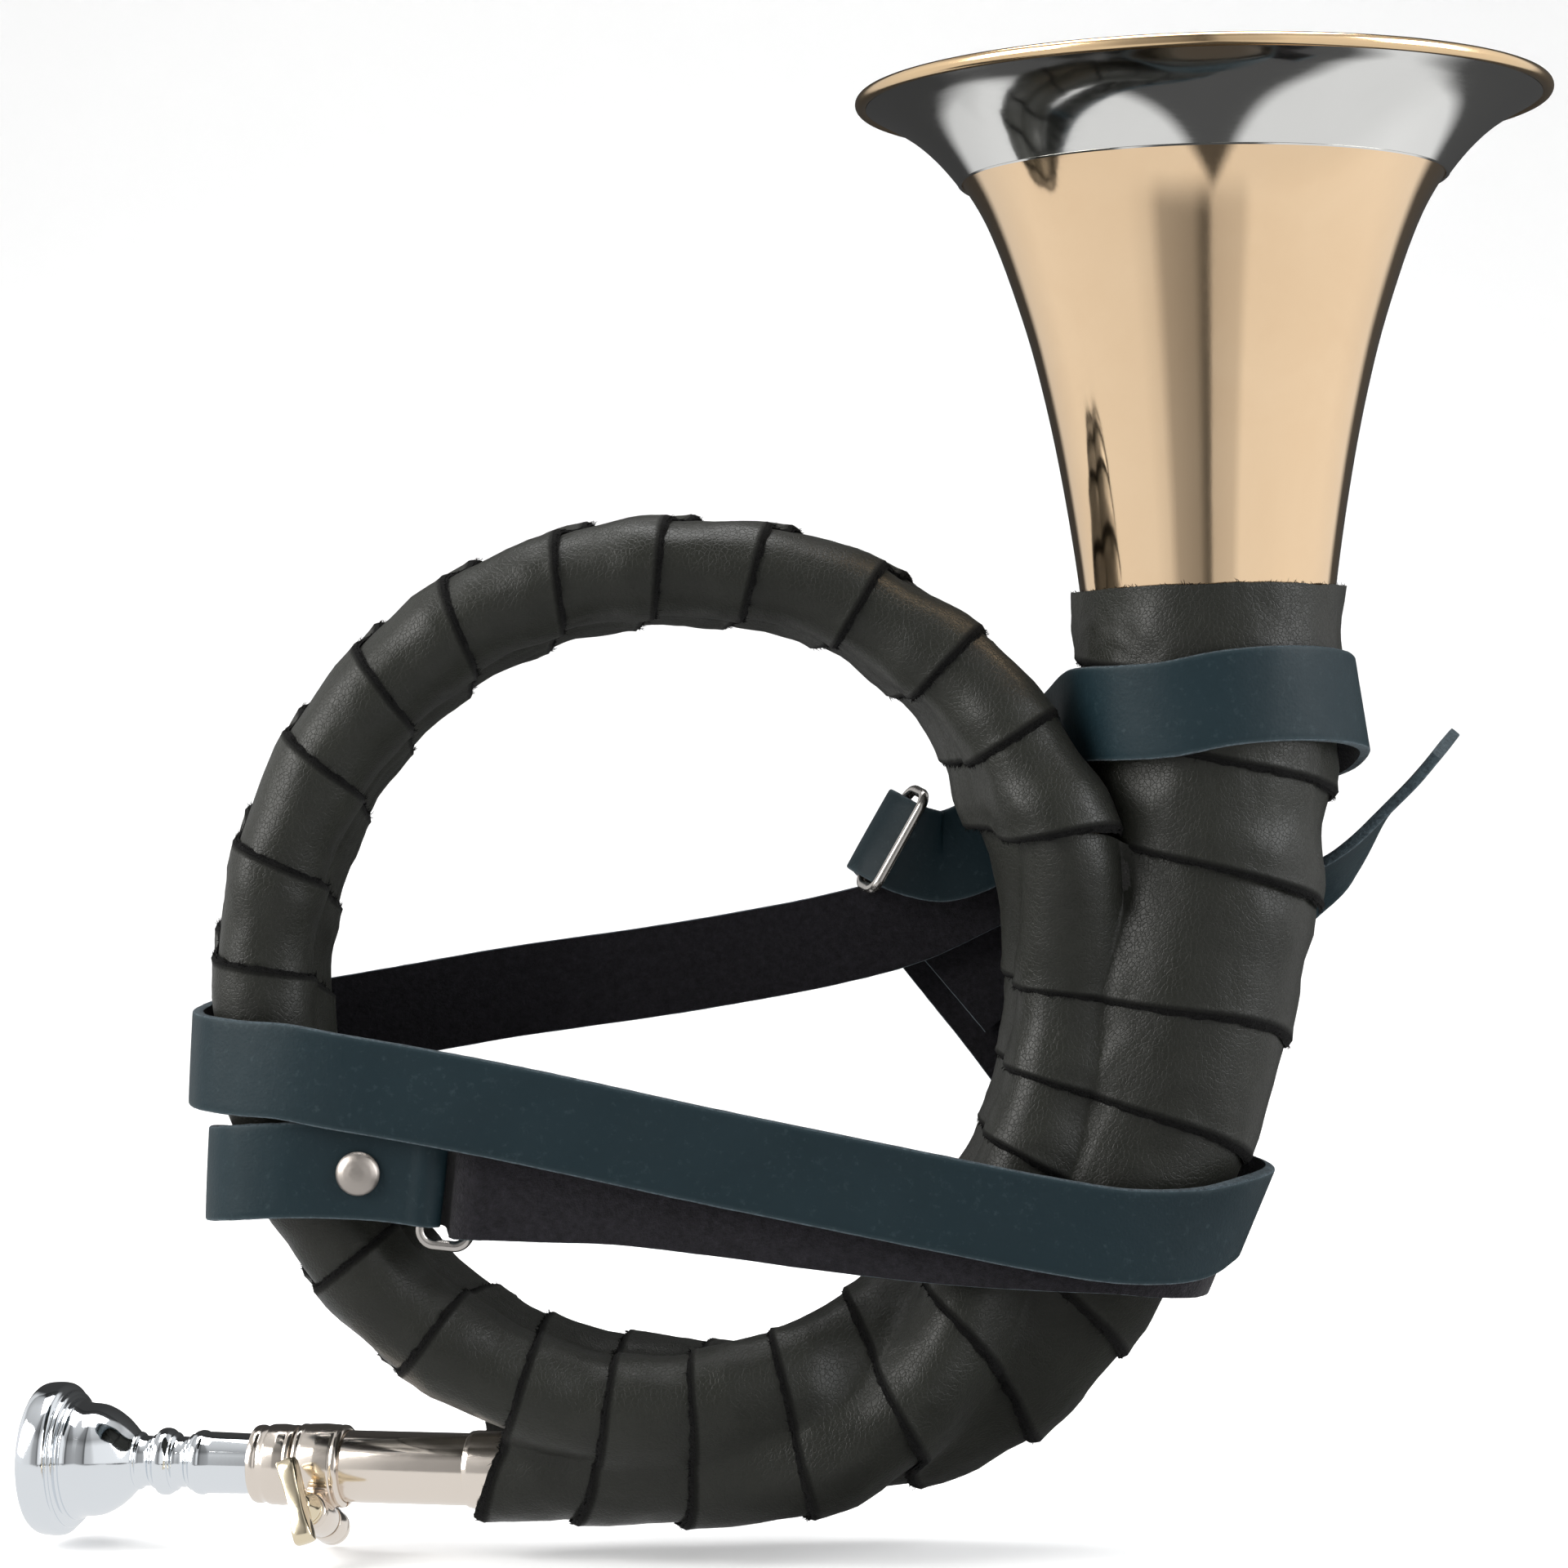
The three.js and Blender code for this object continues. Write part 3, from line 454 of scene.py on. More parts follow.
# ------------------------------------------------------------------ materials
def metal(name, base, tint, rough, streak=(20, 20, 20), tarnish=0.25):
    """metal with slow form waves, polishing lines, faint haze and pits
    tint: hazed colour; rough: polished and hazed roughness; streak: stretch of the lines"""
    mat = Mat(name)
    obj = mat.coord()
    haze = mat.noise(obj, scale=38, detail=5, rough=0.6, warp=0.4)
    broad = mat.noise(obj, scale=9, detail=3, rough=0.5)
    lines = mat.noise(mat.coord(streak), scale=60, detail=3, rough=0.7)
    spots = mat.voronoi(obj, scale=420)
    color = mat.mix(mat.ramp(haze, [(0.35, 0.0), (0.75, tarnish)]), base, tint)
    darker = tuple(channel * 0.9 for channel in base)
    color = mat.mix(mat.ramp(broad, [(0.3, 0.0), (0.7, 0.35)]), color, darker)
    gloss = mat.ramp(haze, [(0.3, rough[0]), (0.75, rough[1])])
    gloss = mat.mix(0.22, gloss, mat.ramp(lines, [(0.35, rough[0]), (0.75, rough[1] * 1.8)]))
    pits = mat.ramp(spots, [(0.0, 1.0), (0.035, 0.0)])
    gloss = mat.mix(pits, gloss, (0.3, 0.3, 0.3))
    waves = mat.noise(obj, scale=26, detail=2, rough=0.45)
    normal = mat.bump(waves, depth=0.00036, strength=0.35)
    normal = mat.bump(lines, depth=0.000004, strength=0.5, over=normal)
    return mat.finish(color=color, rough=gloss, metal=1.0, normal=normal)


GOLD_BRASS = metal("gold_brass", base=(0.88, 0.655, 0.43), tint=(0.74, 0.50, 0.29),
                   rough=(0.045, 0.12), streak=(25, 25, 3), tarnish=0.35)
RIM_BRASS = metal("rim_brass", base=(0.80, 0.585, 0.35), tint=(0.62, 0.41, 0.22),
                  rough=(0.10, 0.2), streak=(20, 20, 60))
YELLOW_BRASS = metal("yellow_brass", base=(0.83, 0.64, 0.38), tint=(0.62, 0.43, 0.22),
                     rough=(0.12, 0.26))
CHAMPAGNE = metal("champagne_brass", base=(0.84, 0.74, 0.55), tint=(0.66, 0.52, 0.33),
                  rough=(0.09, 0.2))
GARLAND = metal("nickel_garland", base=(0.76, 0.76, 0.745), tint=(0.60, 0.60, 0.58),
                rough=(0.05, 0.13), streak=(6, 6, 60))
NICKEL = metal("nickel_silver", base=(0.82, 0.745, 0.67), tint=(0.62, 0.53, 0.44),
               rough=(0.09, 0.2), streak=(4, 30, 30))
CHROME = metal("mouthpiece_silver", base=(0.80, 0.835, 0.87), tint=(0.66, 0.70, 0.76),
               rough=(0.035, 0.09), streak=(30, 4, 30), tarnish=0.12)
STEEL = metal("buckle_steel", base=(0.50, 0.475, 0.45), tint=(0.30, 0.27, 0.245),
              rough=(0.16, 0.32), streak=(30, 30, 30))
GUNMETAL = metal("rivet_nickel", base=(0.42, 0.385, 0.355), tint=(0.30, 0.265, 0.24),
                 rough=(0.30, 0.42), streak=(30, 30, 30))


def wrap_leather():
    """near-black olive leather; UV x is the distance from the free edge in mm"""
    mat = Mat("wrap_leather")
    obj = mat.coord()
    color = mat.ramp(mat.noise(obj, scale=30, detail=4, rough=0.6, warp=0.5),
                     [(0.3, (0.0086, 0.0090, 0.0068)), (0.55, (0.0108, 0.0114, 0.0087)),
                      (0.75, (0.0138, 0.0145, 0.0112))])
    patches = mat.noise(obj, scale=140, detail=4, rough=0.6)
    color = mat.mix(mat.ramp(patches, [(0.35, 0.0), (0.8, 0.45)]), color,
                    (0.0085, 0.0088, 0.0074))
    # grain: small irregular cells with fine pores between them
    borders = mat.voronoi(mat.coord(), scale=1150, feature="DISTANCE_TO_EDGE")
    pores = mat.voronoi(mat.coord(rot=(0.4, 0.7, 0.2)), scale=2300)
    fine = mat.noise(obj, scale=2600, detail=3, rough=0.7)
    cells = mat.ramp(borders, [(0.0, 0.0), (0.09, 0.75), (0.5, 1.0)])
    grain = mat.calc("ADD", mat.calc("MULTIPLY", cells, 0.5), mat.calc("MULTIPLY", pores, 0.35))
    grain = mat.calc("ADD", grain, mat.calc("MULTIPLY", fine, 0.45))
    crease = mat.noise(mat.coord((0.15, 0.06, 1), "UV"), scale=1.0, detail=2, rough=0.45,
                       warp=0.4)
    pleat = mat.noise(mat.coord((0.05, 0.20, 1), "UV"), scale=1.0, detail=2, rough=0.4, warp=0.5)
    normal = mat.bump(crease, depth=0.0012, strength=0.12)
    normal = mat.bump(pleat, depth=0.0010, strength=0.10, over=normal)
    normal = mat.bump(mat.noise(obj, scale=75, detail=2, rough=0.45), depth=0.0016,
                      strength=0.22, over=normal)
    normal = mat.bump(mat.noise(obj, scale=300, detail=2, rough=0.5), depth=0.00022,
                      strength=0.35, over=normal)
    normal = mat.bump(grain, depth=0.00010, strength=0.7, over=normal)
    gloss = mat.ramp(mat.noise(obj, scale=90, detail=5, rough=0.62), [(0.3, 0.33), (0.7, 0.46)])
    gloss = mat.mix(mat.ramp(cells, [(0.0, 0.55), (0.4, 0.0)]), gloss, (0.72, 0.72, 0.72))
    # the free edge is dark and dull for about a millimetre
    ragged = mat.jitter(mat.axes("UV")[0], mat.noise(obj, scale=1500, detail=3, rough=0.7), 0.5)
    edge = mat.ramp(ragged, [(0.0, 1.0), (0.40, 0.85), (0.95, 0.0)])
    color = mat.mix(mat.calc("MULTIPLY", edge, 0.85), color, (0.0035, 0.0035, 0.0033))
    gloss = mat.mix(mat.calc("MULTIPLY", edge, 0.6), gloss, (0.9, 0.9, 0.9))
    spec = mat.mix(edge, (0.23, 0.23, 0.23), (0.05, 0.05, 0.05))
    return mat.finish(color=color, rough=gloss, normal=normal, spec=spec, sheen=0.02,
                      sheen_rough=0.5)


def fibre(name, dark, light, scale, spec=0.15, sheen=0.15):
    """matted leather fibre, for cut edges and flesh sides"""
    mat = Mat(name)
    coarse = mat.noise(mat.coord(), scale=scale, detail=5, rough=0.75)
    fine = mat.noise(mat.coord(rot=(0.5, 0.3, 0.9)), scale=scale * 2.2, detail=3, rough=0.7)
    middle = tuple((low + high) / 2 for low, high in zip(dark, light))
    height = mat.calc("ADD", coarse, mat.calc("MULTIPLY", fine, 0.6))
    return mat.finish(color=mat.ramp(coarse, [(0.35, dark), (0.62, middle), (0.75, light)]),
                      rough=mat.ramp(fine, [(0.3, 0.8), (0.7, 0.98)]),
                      normal=mat.bump(height, depth=0.0006, strength=0.9),
                      spec=spec, sheen=sheen, sheen_rough=0.6)


def strap_grain():
    """dark teal leather; UV y is the place across the strap, -1 to 1"""
    mat = Mat("strap_leather_grain")
    obj = mat.coord()
    color = mat.ramp(mat.noise(obj, scale=22, detail=4, rough=0.55, warp=0.3),
                     [(0.3, (0.0036, 0.0112, 0.0150)), (0.7, (0.0054, 0.0152, 0.0200))])
    pore = mat.voronoi(obj, scale=1500)
    fine = mat.noise(obj, scale=1900, detail=4, rough=0.72)
    color = mat.mix(mat.ramp(pore, [(0.0, 0.6), (0.16, 0.0)]), color, (0.0025, 0.0070, 0.0092))
    specks = mat.noise(obj, scale=700, detail=3, rough=0.7)
    color = mat.mix(mat.ramp(specks, [(0.58, 0.0), (0.78, 0.22)]), color, (0.05, 0.075, 0.082))
    normal = mat.bump(mat.noise(obj, scale=120, detail=3, rough=0.6), depth=0.0003,
                      strength=0.35)
    normal = mat.bump(mat.calc("ADD", mat.calc("MULTIPLY", pore, 0.6), fine), depth=0.00007,
                      strength=0.55, over=normal)
    # worn lighter close to the cut edges
    ragged = mat.jitter(mat.calc("ABSOLUTE", mat.axes("UV")[1]),
                        mat.noise(obj, scale=800, detail=3, rough=0.7), 0.05)
    worn = mat.ramp(ragged, [(0.90, 0.0), (0.965, 0.12), (0.995, 0.55)])
    color = mat.mix(worn, color, (0.075, 0.105, 0.115))
    gloss = mat.ramp(mat.noise(obj, scale=60, detail=4, rough=0.6), [(0.3, 0.47), (0.7, 0.60)])
    return mat.finish(color=color, rough=gloss, normal=normal, spec=0.17, sheen=0.01,
                      sheen_rough=0.45, sheen_tint=(0.55, 0.75, 0.8))


WRAP = wrap_leather()
WRAP_EDGE = fibre("wrap_leather_cut_edge", dark=(0.0006, 0.0006, 0.0006),
                  light=(0.0042, 0.0041, 0.0038), scale=1300, spec=0.06, sheen=0.02)
WRAP_BACK = fibre("wrap_leather_flesh", dark=(0.010, 0.010, 0.009),
                  light=(0.028, 0.027, 0.024), scale=1100)
STRAP_GRAIN = strap_grain()
STRAP_FLESH = fibre("strap_leather_flesh", dark=(0.0032, 0.0029, 0.0042),
                    light=(0.0165, 0.0150, 0.0195), scale=800, spec=0.08, sheen=0.07)
STRAP_EDGE = fibre("strap_leather_cut_edge", dark=(0.016, 0.026, 0.033),
                   light=(0.085, 0.120, 0.140), scale=1100, spec=0.12, sheen=0.08)

# ------------------------------------------------------------------ coil
HOLE_RX, HOLE_RZ = 61.2, 64.4   # half width and half height of the open middle
INSET = 1.85                    # from the hole to the nearest tube
LEAD_RADIUS = 6.5
LEAD_AXIS = unit([0.9744, -0.2250, 0.0])   # from the mouthpiece into the coil
COLLAR = np.array([-64.3, 9.9, -87.6])     # zero point along the lead
# degrees along the tube, outside radius
TUBE_RADII = np.array([
    [-130, 6.5], [-60, 6.5], [0, 6.6], [90, 6.8], [180, 6.95], [260, 7.1], [300, 7.2],
    [360, 7.5], [450, 8.0], [540, 8.6], [620, 9.5], [660, 10.6], [690, 12.6], [710, 15.2],
    [720, 16.6], [735, 17.4]])


def tube_radius(deg):
    return float(np.interp(deg, TUBE_RADII[:, 0], TUBE_RADII[:, 1]))


def hole_radius(deg):
    turn = math.radians(deg)
    return 1 / math.hypot(math.cos(turn) / HOLE_RX, math.sin(turn) / HOLE_RZ)


def polar(deg, radial, depth):
    turn = math.radians(deg)
    return np.array([radial * math.cos(turn), depth, radial * math.sin(turn)])


def lead_point(distance):
    return COLLAR + LEAD_AXIS * distance


def two_tubes(deg):
    """(radial, depth, radius) of the front and back tube where two lie side by side"""
    front, back = tube_radius(deg), tube_radius(deg + 360)
    shift = ease(0, 20, deg) * (1 - ease(22, 60, deg))
    span = front + back + 0.5
    step, slide = 4.2 * shift, -6.2 * shift
    gap = math.sqrt(span * span - step * step)
    base = (hole_radius(deg) + INSET + max(front, back)
            + 2.5 * (ease(28, 48, deg) * (1 - ease(60, 92, deg))))
    middle = (front - back) / 2
    return [(base + step, -gap / 2 + middle + slide, front),
            (base, gap / 2 + middle + slide, back)]


def three_tubes(deg):
    """(radial, depth, radius) of the three tubes, a triangle that rolls over with the angle"""
    radii = [tube_radius(deg + turn) for turn in (0, 360, 720)]
    first, second, third = radii
    roll = ease(-97, -28, deg)
    gap = 0.9 + 2.6 * math.sin(math.pi * roll)
    side12, side13, side23 = first + second + gap, first + third + gap, second + third + gap
    corner = math.acos((side12 ** 2 + side13 ** 2 - side23 ** 2) / (2 * side12 * side13))
    centres = [(0, 0), (side12, 0), (side13 * math.cos(corner), -side13 * math.sin(corner))]
    start = math.pi / 2 - math.atan2(centres[2][1], centres[2][0] - side12)
    turn = start + (math.pi / 2 - start) * roll
    cos, sin = math.cos(turn), math.sin(turn)
    centres = [(x * cos - y * sin, x * sin + y * cos) for x, y in centres]
    inner = min(x - radius for (x, _), radius in zip(centres, radii))
    front = min(y - radius for (_, y), radius in zip(centres, radii))
    back = max(y + radius for (_, y), radius in zip(centres, radii))
    return [(x - inner + hole_radius(deg) + INSET, y - (front + back) / 2, radius)
            for (x, y), radius in zip(centres, radii)]


# centre line of the tube: (point, degrees along the tube, radius)
path = [(lead_point(s), -130 + s * 0.4, LEAD_RADIUS) for s in (30, 42, 52, 61)]
for circles_at, degrees, winding in ((three_tubes, range(-80, 1, 10), 0),
                                     (two_tubes, range(10, 260, 10), 0),
                                     (three_tubes, range(-100, 1, 10), 1),
                                     (two_tubes, range(10, 260, 10), 1),
                                     (three_tubes, range(-100, -7, 10), 2)):
    for deg in degrees:
        radial, depth, radius = circles_at(deg)[winding]
        path.append((polar(deg, radial, depth), deg + 360 * winding, radius))
radial, depth, radius = three_tubes(0)[2]
path += [(np.array([radial, depth, 0.0]), 720, 16.6), (np.array([97.0, 0, 14]), 735, 17.6),
         (np.array([BELL_X, 0, 27]), 748, 18.4), (np.array([BELL_X, 0, 37.3]), 758, 19.2)]


def path_piece(name, low, high, node, mat, slot):
    """tube between two degrees; neighbours on the path shape its ends"""
    per, wall = 6, 0.6
    inside = [i for i, entry in enumerate(path) if low <= entry[1] <= high]
    first, last = max(0, inside[0] - 2), min(len(path) - 1, inside[-1] + 2)
    near = path[first:last + 1]
    points = spline([entry[0] for entry in near], per)
    radii = np.interp(np.arange(len(points)) / per, np.arange(len(near)),
                      [entry[2] for entry in near])
    part = slice((inside[0] - first) * per, (inside[-1] - first) * per + 1)
    build(name, hollow(points[part], radii[part], wall, 40), [mat], "horn", slot, node)


path_piece("first_winding_tube", -200, 300, "coil_tube_first", YELLOW_BRASS, "yellow_brass")
path_piece("second_winding_tube", 300, 640, "coil_tube_second", YELLOW_BRASS, "yellow_brass")
path_piece("bell_branch_tube", 640, 800, "bell_branch", GOLD_BRASS, "gold_brass")

# ------------------------------------------------------------------ bell
# height, outside radius
FLARE = [
    [37.6, 19.2], [47, 20.0], [52, 20.9], [60, 22.0], [70, 23.0], [78.8, 24.2], [87.6, 25.6],
    [96.4, 27.2], [105.3, 29.1], [114.1, 31.3], [122.9, 34.0], [131.7, 37.1], [138, 39.9],
    [143.5, 43.3], [148.7, 47.6], [152.5, 51.8], [155.5, 56.4], [157.4, 60.2]]
FLARE_WALL = 0.55
GARLAND_START = 143.3
RIM_RADIUS, RIM_HEIGHT, RIM_WIRE = 61.22, 157.82, 1.18


def offset_line(line, distance):
    """line of (radius, height) moved away from the bell axis"""
    tangent = tangents(line)
    return line + np.stack([tangent[:, 1], -tangent[:, 0]], 1) * distance


flare = spline([[radius, height] for height, radius in FLARE])
inner = offset_line(flare, -FLARE_WALL)
build("bell_flare_spun", turned(np.vstack([flare, inner[::-1]]), BELL_AXIS, UP, 192),
      [GOLD_BRASS], "horn", "gold_brass", "bell_flare", crease=50)

covered = flare[flare[:, 1] > GARLAND_START]
lip = covered[0] + np.array([[0.05, -0.35], [0.45, -0.45], [0.72, -0.2]])
profile = np.vstack([lip, offset_line(covered, 0.62), offset_line(covered, 0.02)[::-1]])
build("bell_garland_band", turned(profile, BELL_AXIS, UP, 192), [GARLAND], "horn",
      "nickel_silver", "bell_garland", crease=40)

turn = np.linspace(0, 2 * math.pi, 25)[:-1]
profile = np.stack([RIM_RADIUS + RIM_WIRE * np.cos(turn), RIM_HEIGHT + RIM_WIRE * np.sin(turn)], 1)
build("bell_rim_roll", turned(profile, BELL_AXIS, UP, 224), [RIM_BRASS], "horn",
      "gold_brass", "bell_rim")

profile = rounded([[20.2, 32], [20.5, 38.5], [20.9, 45], [20.35, 45], [19.95, 38.5],
                   [19.6, 32]], 0.2)
build("bell_branch_ring", turned(profile, BELL_AXIS, UP, 96), [NICKEL], "horn",
      "nickel_silver", "bell_branch_ferrule", crease=40)

# ------------------------------------------------------------------ lead: slide and receiver
# name, CAD node, body, corner radius, segments, crease angle, profile of (radius, distance)
LEAD_PARTS = (
    ("slide_outer_sleeve", "outer_slide_tube", "horn", 0.2, 96, 40,
     [[LEAD_RADIUS, -3.6], [LEAD_RADIUS, 29.7], [6.02, 29.7], [6.02, -3.6]]),
    ("lead_coupling_sleeve", "lead_coupling", "horn", 0.12, 72, 40,
     [[6.9, 28.5], [7.05, 29.4], [7.05, 36.8], [6.9, 38.0], [6.74, 38.0], [6.74, 28.5]]),
    ("receiver_slide", "receiver_tube", "receiver", 0.15, 72, 40,
     [[5.7, -12.0], [5.7, 28.5], [5.15, 28.5], [5.15, -12.0]]),
    ("receiver_mouth_ferrule", "receiver_ferrule", "receiver", 0.22, 128, 50,
     [[6.35, -12.6], [6.95, -12.5], [7.12, -11.9], [7.12, -11.2], [6.86, -10.8],
      [6.95, -10.2], [7.3, -9.4], [7.36, -7.2], [7.2, -5.9], [7.12, -5.5], [7.26, -5.1],
      [7.1, -4.4], [6.02, -4.4], [6.02, -12.6]]))
for name, node, body, corner, segments, crease, profile in LEAD_PARTS:
    build(name, turned(rounded(profile, corner), COLLAR, LEAD_AXIS, segments), [NICKEL], body,
          "nickel_silver", node, crease=crease)

# ------------------------------------------------------------------ mouthpiece
# (radius, distance along the lead): outside from rim to shank, straight shank, then the bore
# back out, and the cup
MOUTH_OUTSIDE = [
    [12.6, -54.75], [13.35, -54.45], [13.85, -53.6], [14.05, -52.0], [14.05, -50.6],
    [13.8, -49.6], [13.2, -49.1], [12.6, -48.9], [12.45, -48.55], [12.55, -48.25],
    [12.1, -47.9], [11.2, -47.75], [11.0, -47.35], [11.1, -46.95], [10.7, -46.4],
    [10.4, -45.2], [10.3, -43.6], [10.05, -42.3], [9.3, -40.6], [8.2, -38.9], [7.1, -37.6],
    [6.0, -36.5], [5.35, -35.8], [5.15, -35.45], [5.3, -35.2], [5.1, -34.9], [4.75, -34.6],
    [4.6, -33.6], [4.6, -32.6], [4.95, -32.2], [5.05, -31.9], [4.95, -31.65], [5.35, -31.4],
    [5.95, -31.0], [6.15, -30.2], [6.0, -29.3], [5.5, -28.7], [5.25, -28.45], [5.4, -28.2],
    [5.1, -27.9], [4.7, -27.6], [4.62, -26.6], [4.62, -25.6], [4.85, -25.2], [5.15, -24.95],
    [5.15, -24.5], [5.6, -24.1], [5.85, -23.4], [5.85, -22.6], [5.62, -22.1]]
MOUTH_SHANK = [[5.6, -20.0], [5.45, -12.9], [4.85, -12.6], [4.35, 7.5]]
MOUTH_BORE = [[3.6, 7.5], [2.6, -12], [1.9, -30]]
MOUTH_CUP = [
    [1.9, -35], [2.4, -36.8], [3.6, -38.8], [5.2, -40.6], [6.6, -42.6], [7.5, -44.6],
    [8.0, -46.8], [8.3, -49.5], [8.6, -51.6], [9.3, -53.4], [10.3, -54.4], [11.4, -54.8]]
profile = np.vstack([spline(MOUTH_OUTSIDE, 3), MOUTH_SHANK, MOUTH_BORE, spline(MOUTH_CUP, 4)])
build("mouthpiece_turned", turned(profile, COLLAR, LEAD_AXIS, 160), [CHROME], "mouthpiece",
      "mouthpiece_silver", "mouthpiece", crease=60)

# ------------------------------------------------------------------ clamp collar and screw
# the screw runs from its wing in front towards the back; the boss hangs below the lead
SCREW_AXIS = square_to(np.array([0.2157, 0.8968, -0.3870]), LEAD_AXIS)
BOSS_DIR = unit(np.cross(SCREW_AXIS, LEAD_AXIS))
BOSS = lead_point(0.5) + BOSS_DIR * 9.6
WING_LONG = square_to(np.array([0.2575, -0.437, -0.86]), SCREW_AXIS)
WING_THICK = np.cross(SCREW_AXIS, WING_LONG)
WING_HALF_LENGTH, WING_HALF_HEIGHT, WING_AT = 8.0, 3.3, -12.8
SLIT_HALF_ANGLE = 3.2
# (radius, distance along the lead)
COLLAR_OUTLINE = [
    [7.05, -4.0], [7.5, -3.6], [7.5, -3.0], [7.34, -2.7], [7.5, -2.3], [7.62, 0.5], [7.5, 3.2],
    [7.34, 3.6], [7.5, 3.95], [7.45, 4.6], [7.05, 5.0], [6.52, 5.0], [6.52, -4.0]]
# front and back cheek: outline of (radius, distance along the screw), start and end of its web
CHEEKS = (
    ([[1.7, 2.0], [3.24, 2.0], [3.294, -4.7], [3.1536, -4.9], [3.294, -5.1], [3.132, -5.75],
      [2.7, -6.0], [1.7, -6.0]], -4.4, 2.0),
    ([[1.7, 2.8], [3.24, 2.8], [3.294, 6.8], [3.0888, 7.05], [3.294, 7.3], [3.2184, 8.5],
      [2.7, 9.15], [1.7, 9.4]], 2.8, 6.4))


def cheek_web(start, end):
    """block between a cheek and the collar"""
    count, rings = 10, []
    for distance in np.linspace(start, end, 6):
        ring = []
        for i in range(count):
            turn = i / count * 2 * math.pi
            ring.append(BOSS + SCREW_AXIS * distance
                        + BOSS_DIR * -4.4 * ((math.cos(turn) + 1) / 2) + BOSS_DIR * 0.6
                        + LEAD_AXIS * math.sin(turn) * (2.5 - 0.35 * math.cos(turn)))
        rings.append(ring)
    return skin(np.array(rings))


def split_collar():
    side, other, _ = basis(LEAD_AXIS)
    slit = BOSS_DIR * 9.0 + SCREW_AXIS * 2.4
    slit_deg = math.degrees(math.atan2(np.dot(slit, other), np.dot(slit, side)))
    parts = [turned(rounded(COLLAR_OUTLINE, 0.2), COLLAR, LEAD_AXIS, 144,
                    slit_deg + SLIT_HALF_ANGLE, slit_deg + 360 - SLIT_HALF_ANGLE)]
    for outline, start, end in CHEEKS:
        parts.append(turned(rounded(outline, 0.3), BOSS, SCREW_AXIS, 64))
        parts.append(cheek_web(start, end))
    return joined(parts)


def wing():
    """wing head: a plate with rounded, slightly thicker lobes each side of a waist"""
    count, steps = 56, 12
    outline = []
    for k in range(count):
        cos, sin = math.cos(2 * math.pi * k / count), math.sin(2 * math.pi * k / count)
        reach = np.sign(cos) * abs(cos) ** 0.62
        if sin > 0:
            height = WING_HALF_HEIGHT * (0.62 + 0.38 * abs(reach) ** 1.3)
        else:
            height = WING_HALF_HEIGHT * (1.0 - 0.5 * abs(reach) ** 1.6)
        outline.append((WING_HALF_LENGTH * reach, height * np.sign(sin) * abs(sin) ** 0.62,
                        1.3 + 0.55 * abs(reach) ** 2))
    rings = []
    for j in range(steps + 1):
        tilt = -math.pi / 2 + math.pi * j / steps
        at_end = j in (0, steps)
        full = 0.25 if at_end else 0.25 + 0.75 * abs(math.cos(tilt)) ** 0.45
        shrink_x = 0.81 if at_end else 1 - 0.10 * (1 - full)
        shrink_y = 1 - 0.30 * (1 - full)
        rings.append([(x * shrink_x, y * shrink_y, math.sin(tilt) * thick)
                      for x, y, thick in outline])
    rings = np.array(rings)
    centre = BOSS + SCREW_AXIS * WING_AT
    return skin(centre + rings[..., 0:1] * WING_LONG - rings[..., 1:2] * SCREW_AXIS
                + rings[..., 2:3] * WING_THICK)


build("clamp_collar_split", split_collar(), [NICKEL], "horn", "nickel_silver",
      "clamp_collar", crease=40)
profile = rounded([[2.9, -7.2], [2.9, -6.4], [1.8, -6.4], [1.8, -7.2]], 0.2)
build("thrust_washer_disc", turned(profile, BOSS, SCREW_AXIS, 48), [CHAMPAGNE], "washer",
      "yellow_brass", "thrust_washer", crease=40)
profile = rounded([[0.0, -11.4], [1.7, -11.2], [2.1, -10.2], [2.45, -9.2], [2.85, -8.4],
                   [2.9, -7.5], [1.5, -7.5], [1.5, 10.4], [1.1, 11.0], [0.0, 11.0]], 0.3)
build("thumb_screw_wing", joined([turned(profile, BOSS, SCREW_AXIS, 56), wing()]),
      [CHAMPAGNE], "thumb_screw", "yellow_brass", "thumb_screw", crease=50)

# ------------------------------------------------------------------ wrap cross sections
LEVEL = 1.35       # past 360 degrees the sections lie level, this many mm up for each degree
GROW = 0.55        # clearance between the tubes and the leather
RING = 128
ring_turn = np.arange(RING) / RING * 2 * math.pi
# (radial, depth): 0 points away from the coil centre, a quarter turn to the front
SPOKES = np.stack([np.cos(ring_turn), -np.sin(ring_turn)], 1)
probe_turn = np.arange(180) / 180 * 2 * math.pi
PROBES = np.stack([np.cos(probe_turn), np.sin(probe_turn)], 1)


def section(circles, dip):
    """ring of (radial, depth) stretched round circles; dip sinks it between them, 0 to 1"""
    circles = np.asarray(circles, float)
    centre = circles[:, :2].mean(0)
    offset = circles[:, :2] - centre
    support = (offset @ PROBES.T + circles[:, 2:3]).max(0) + GROW
    facing = SPOKES @ PROBES.T
    hull = np.where(facing > 0.12, support[None, :] / np.maximum(facing, 0.12), 1e9).min(1)
    ahead = SPOKES @ offset.T
    root = ahead * ahead - (offset ** 2).sum(1)[None, :] + (circles[:, 2] + GROW)[None, :] ** 2
    far = np.where(root > 0, ahead + np.sqrt(np.maximum(root, 0)), 0).max(1)
    close = np.where(far > 0, far, hull * 0.6)
    kernel = np.exp(-0.5 * (np.arange(-9, 10) / 2.6) ** 2)
    kernel /= kernel.sum()
    close = np.convolve(np.concatenate([close[-9:], close, close[:9]]), kernel, "valid")
    reach = hull * (1 - dip) + np.minimum(close, hull) * dip
    return centre + SPOKES * reach[:, None]


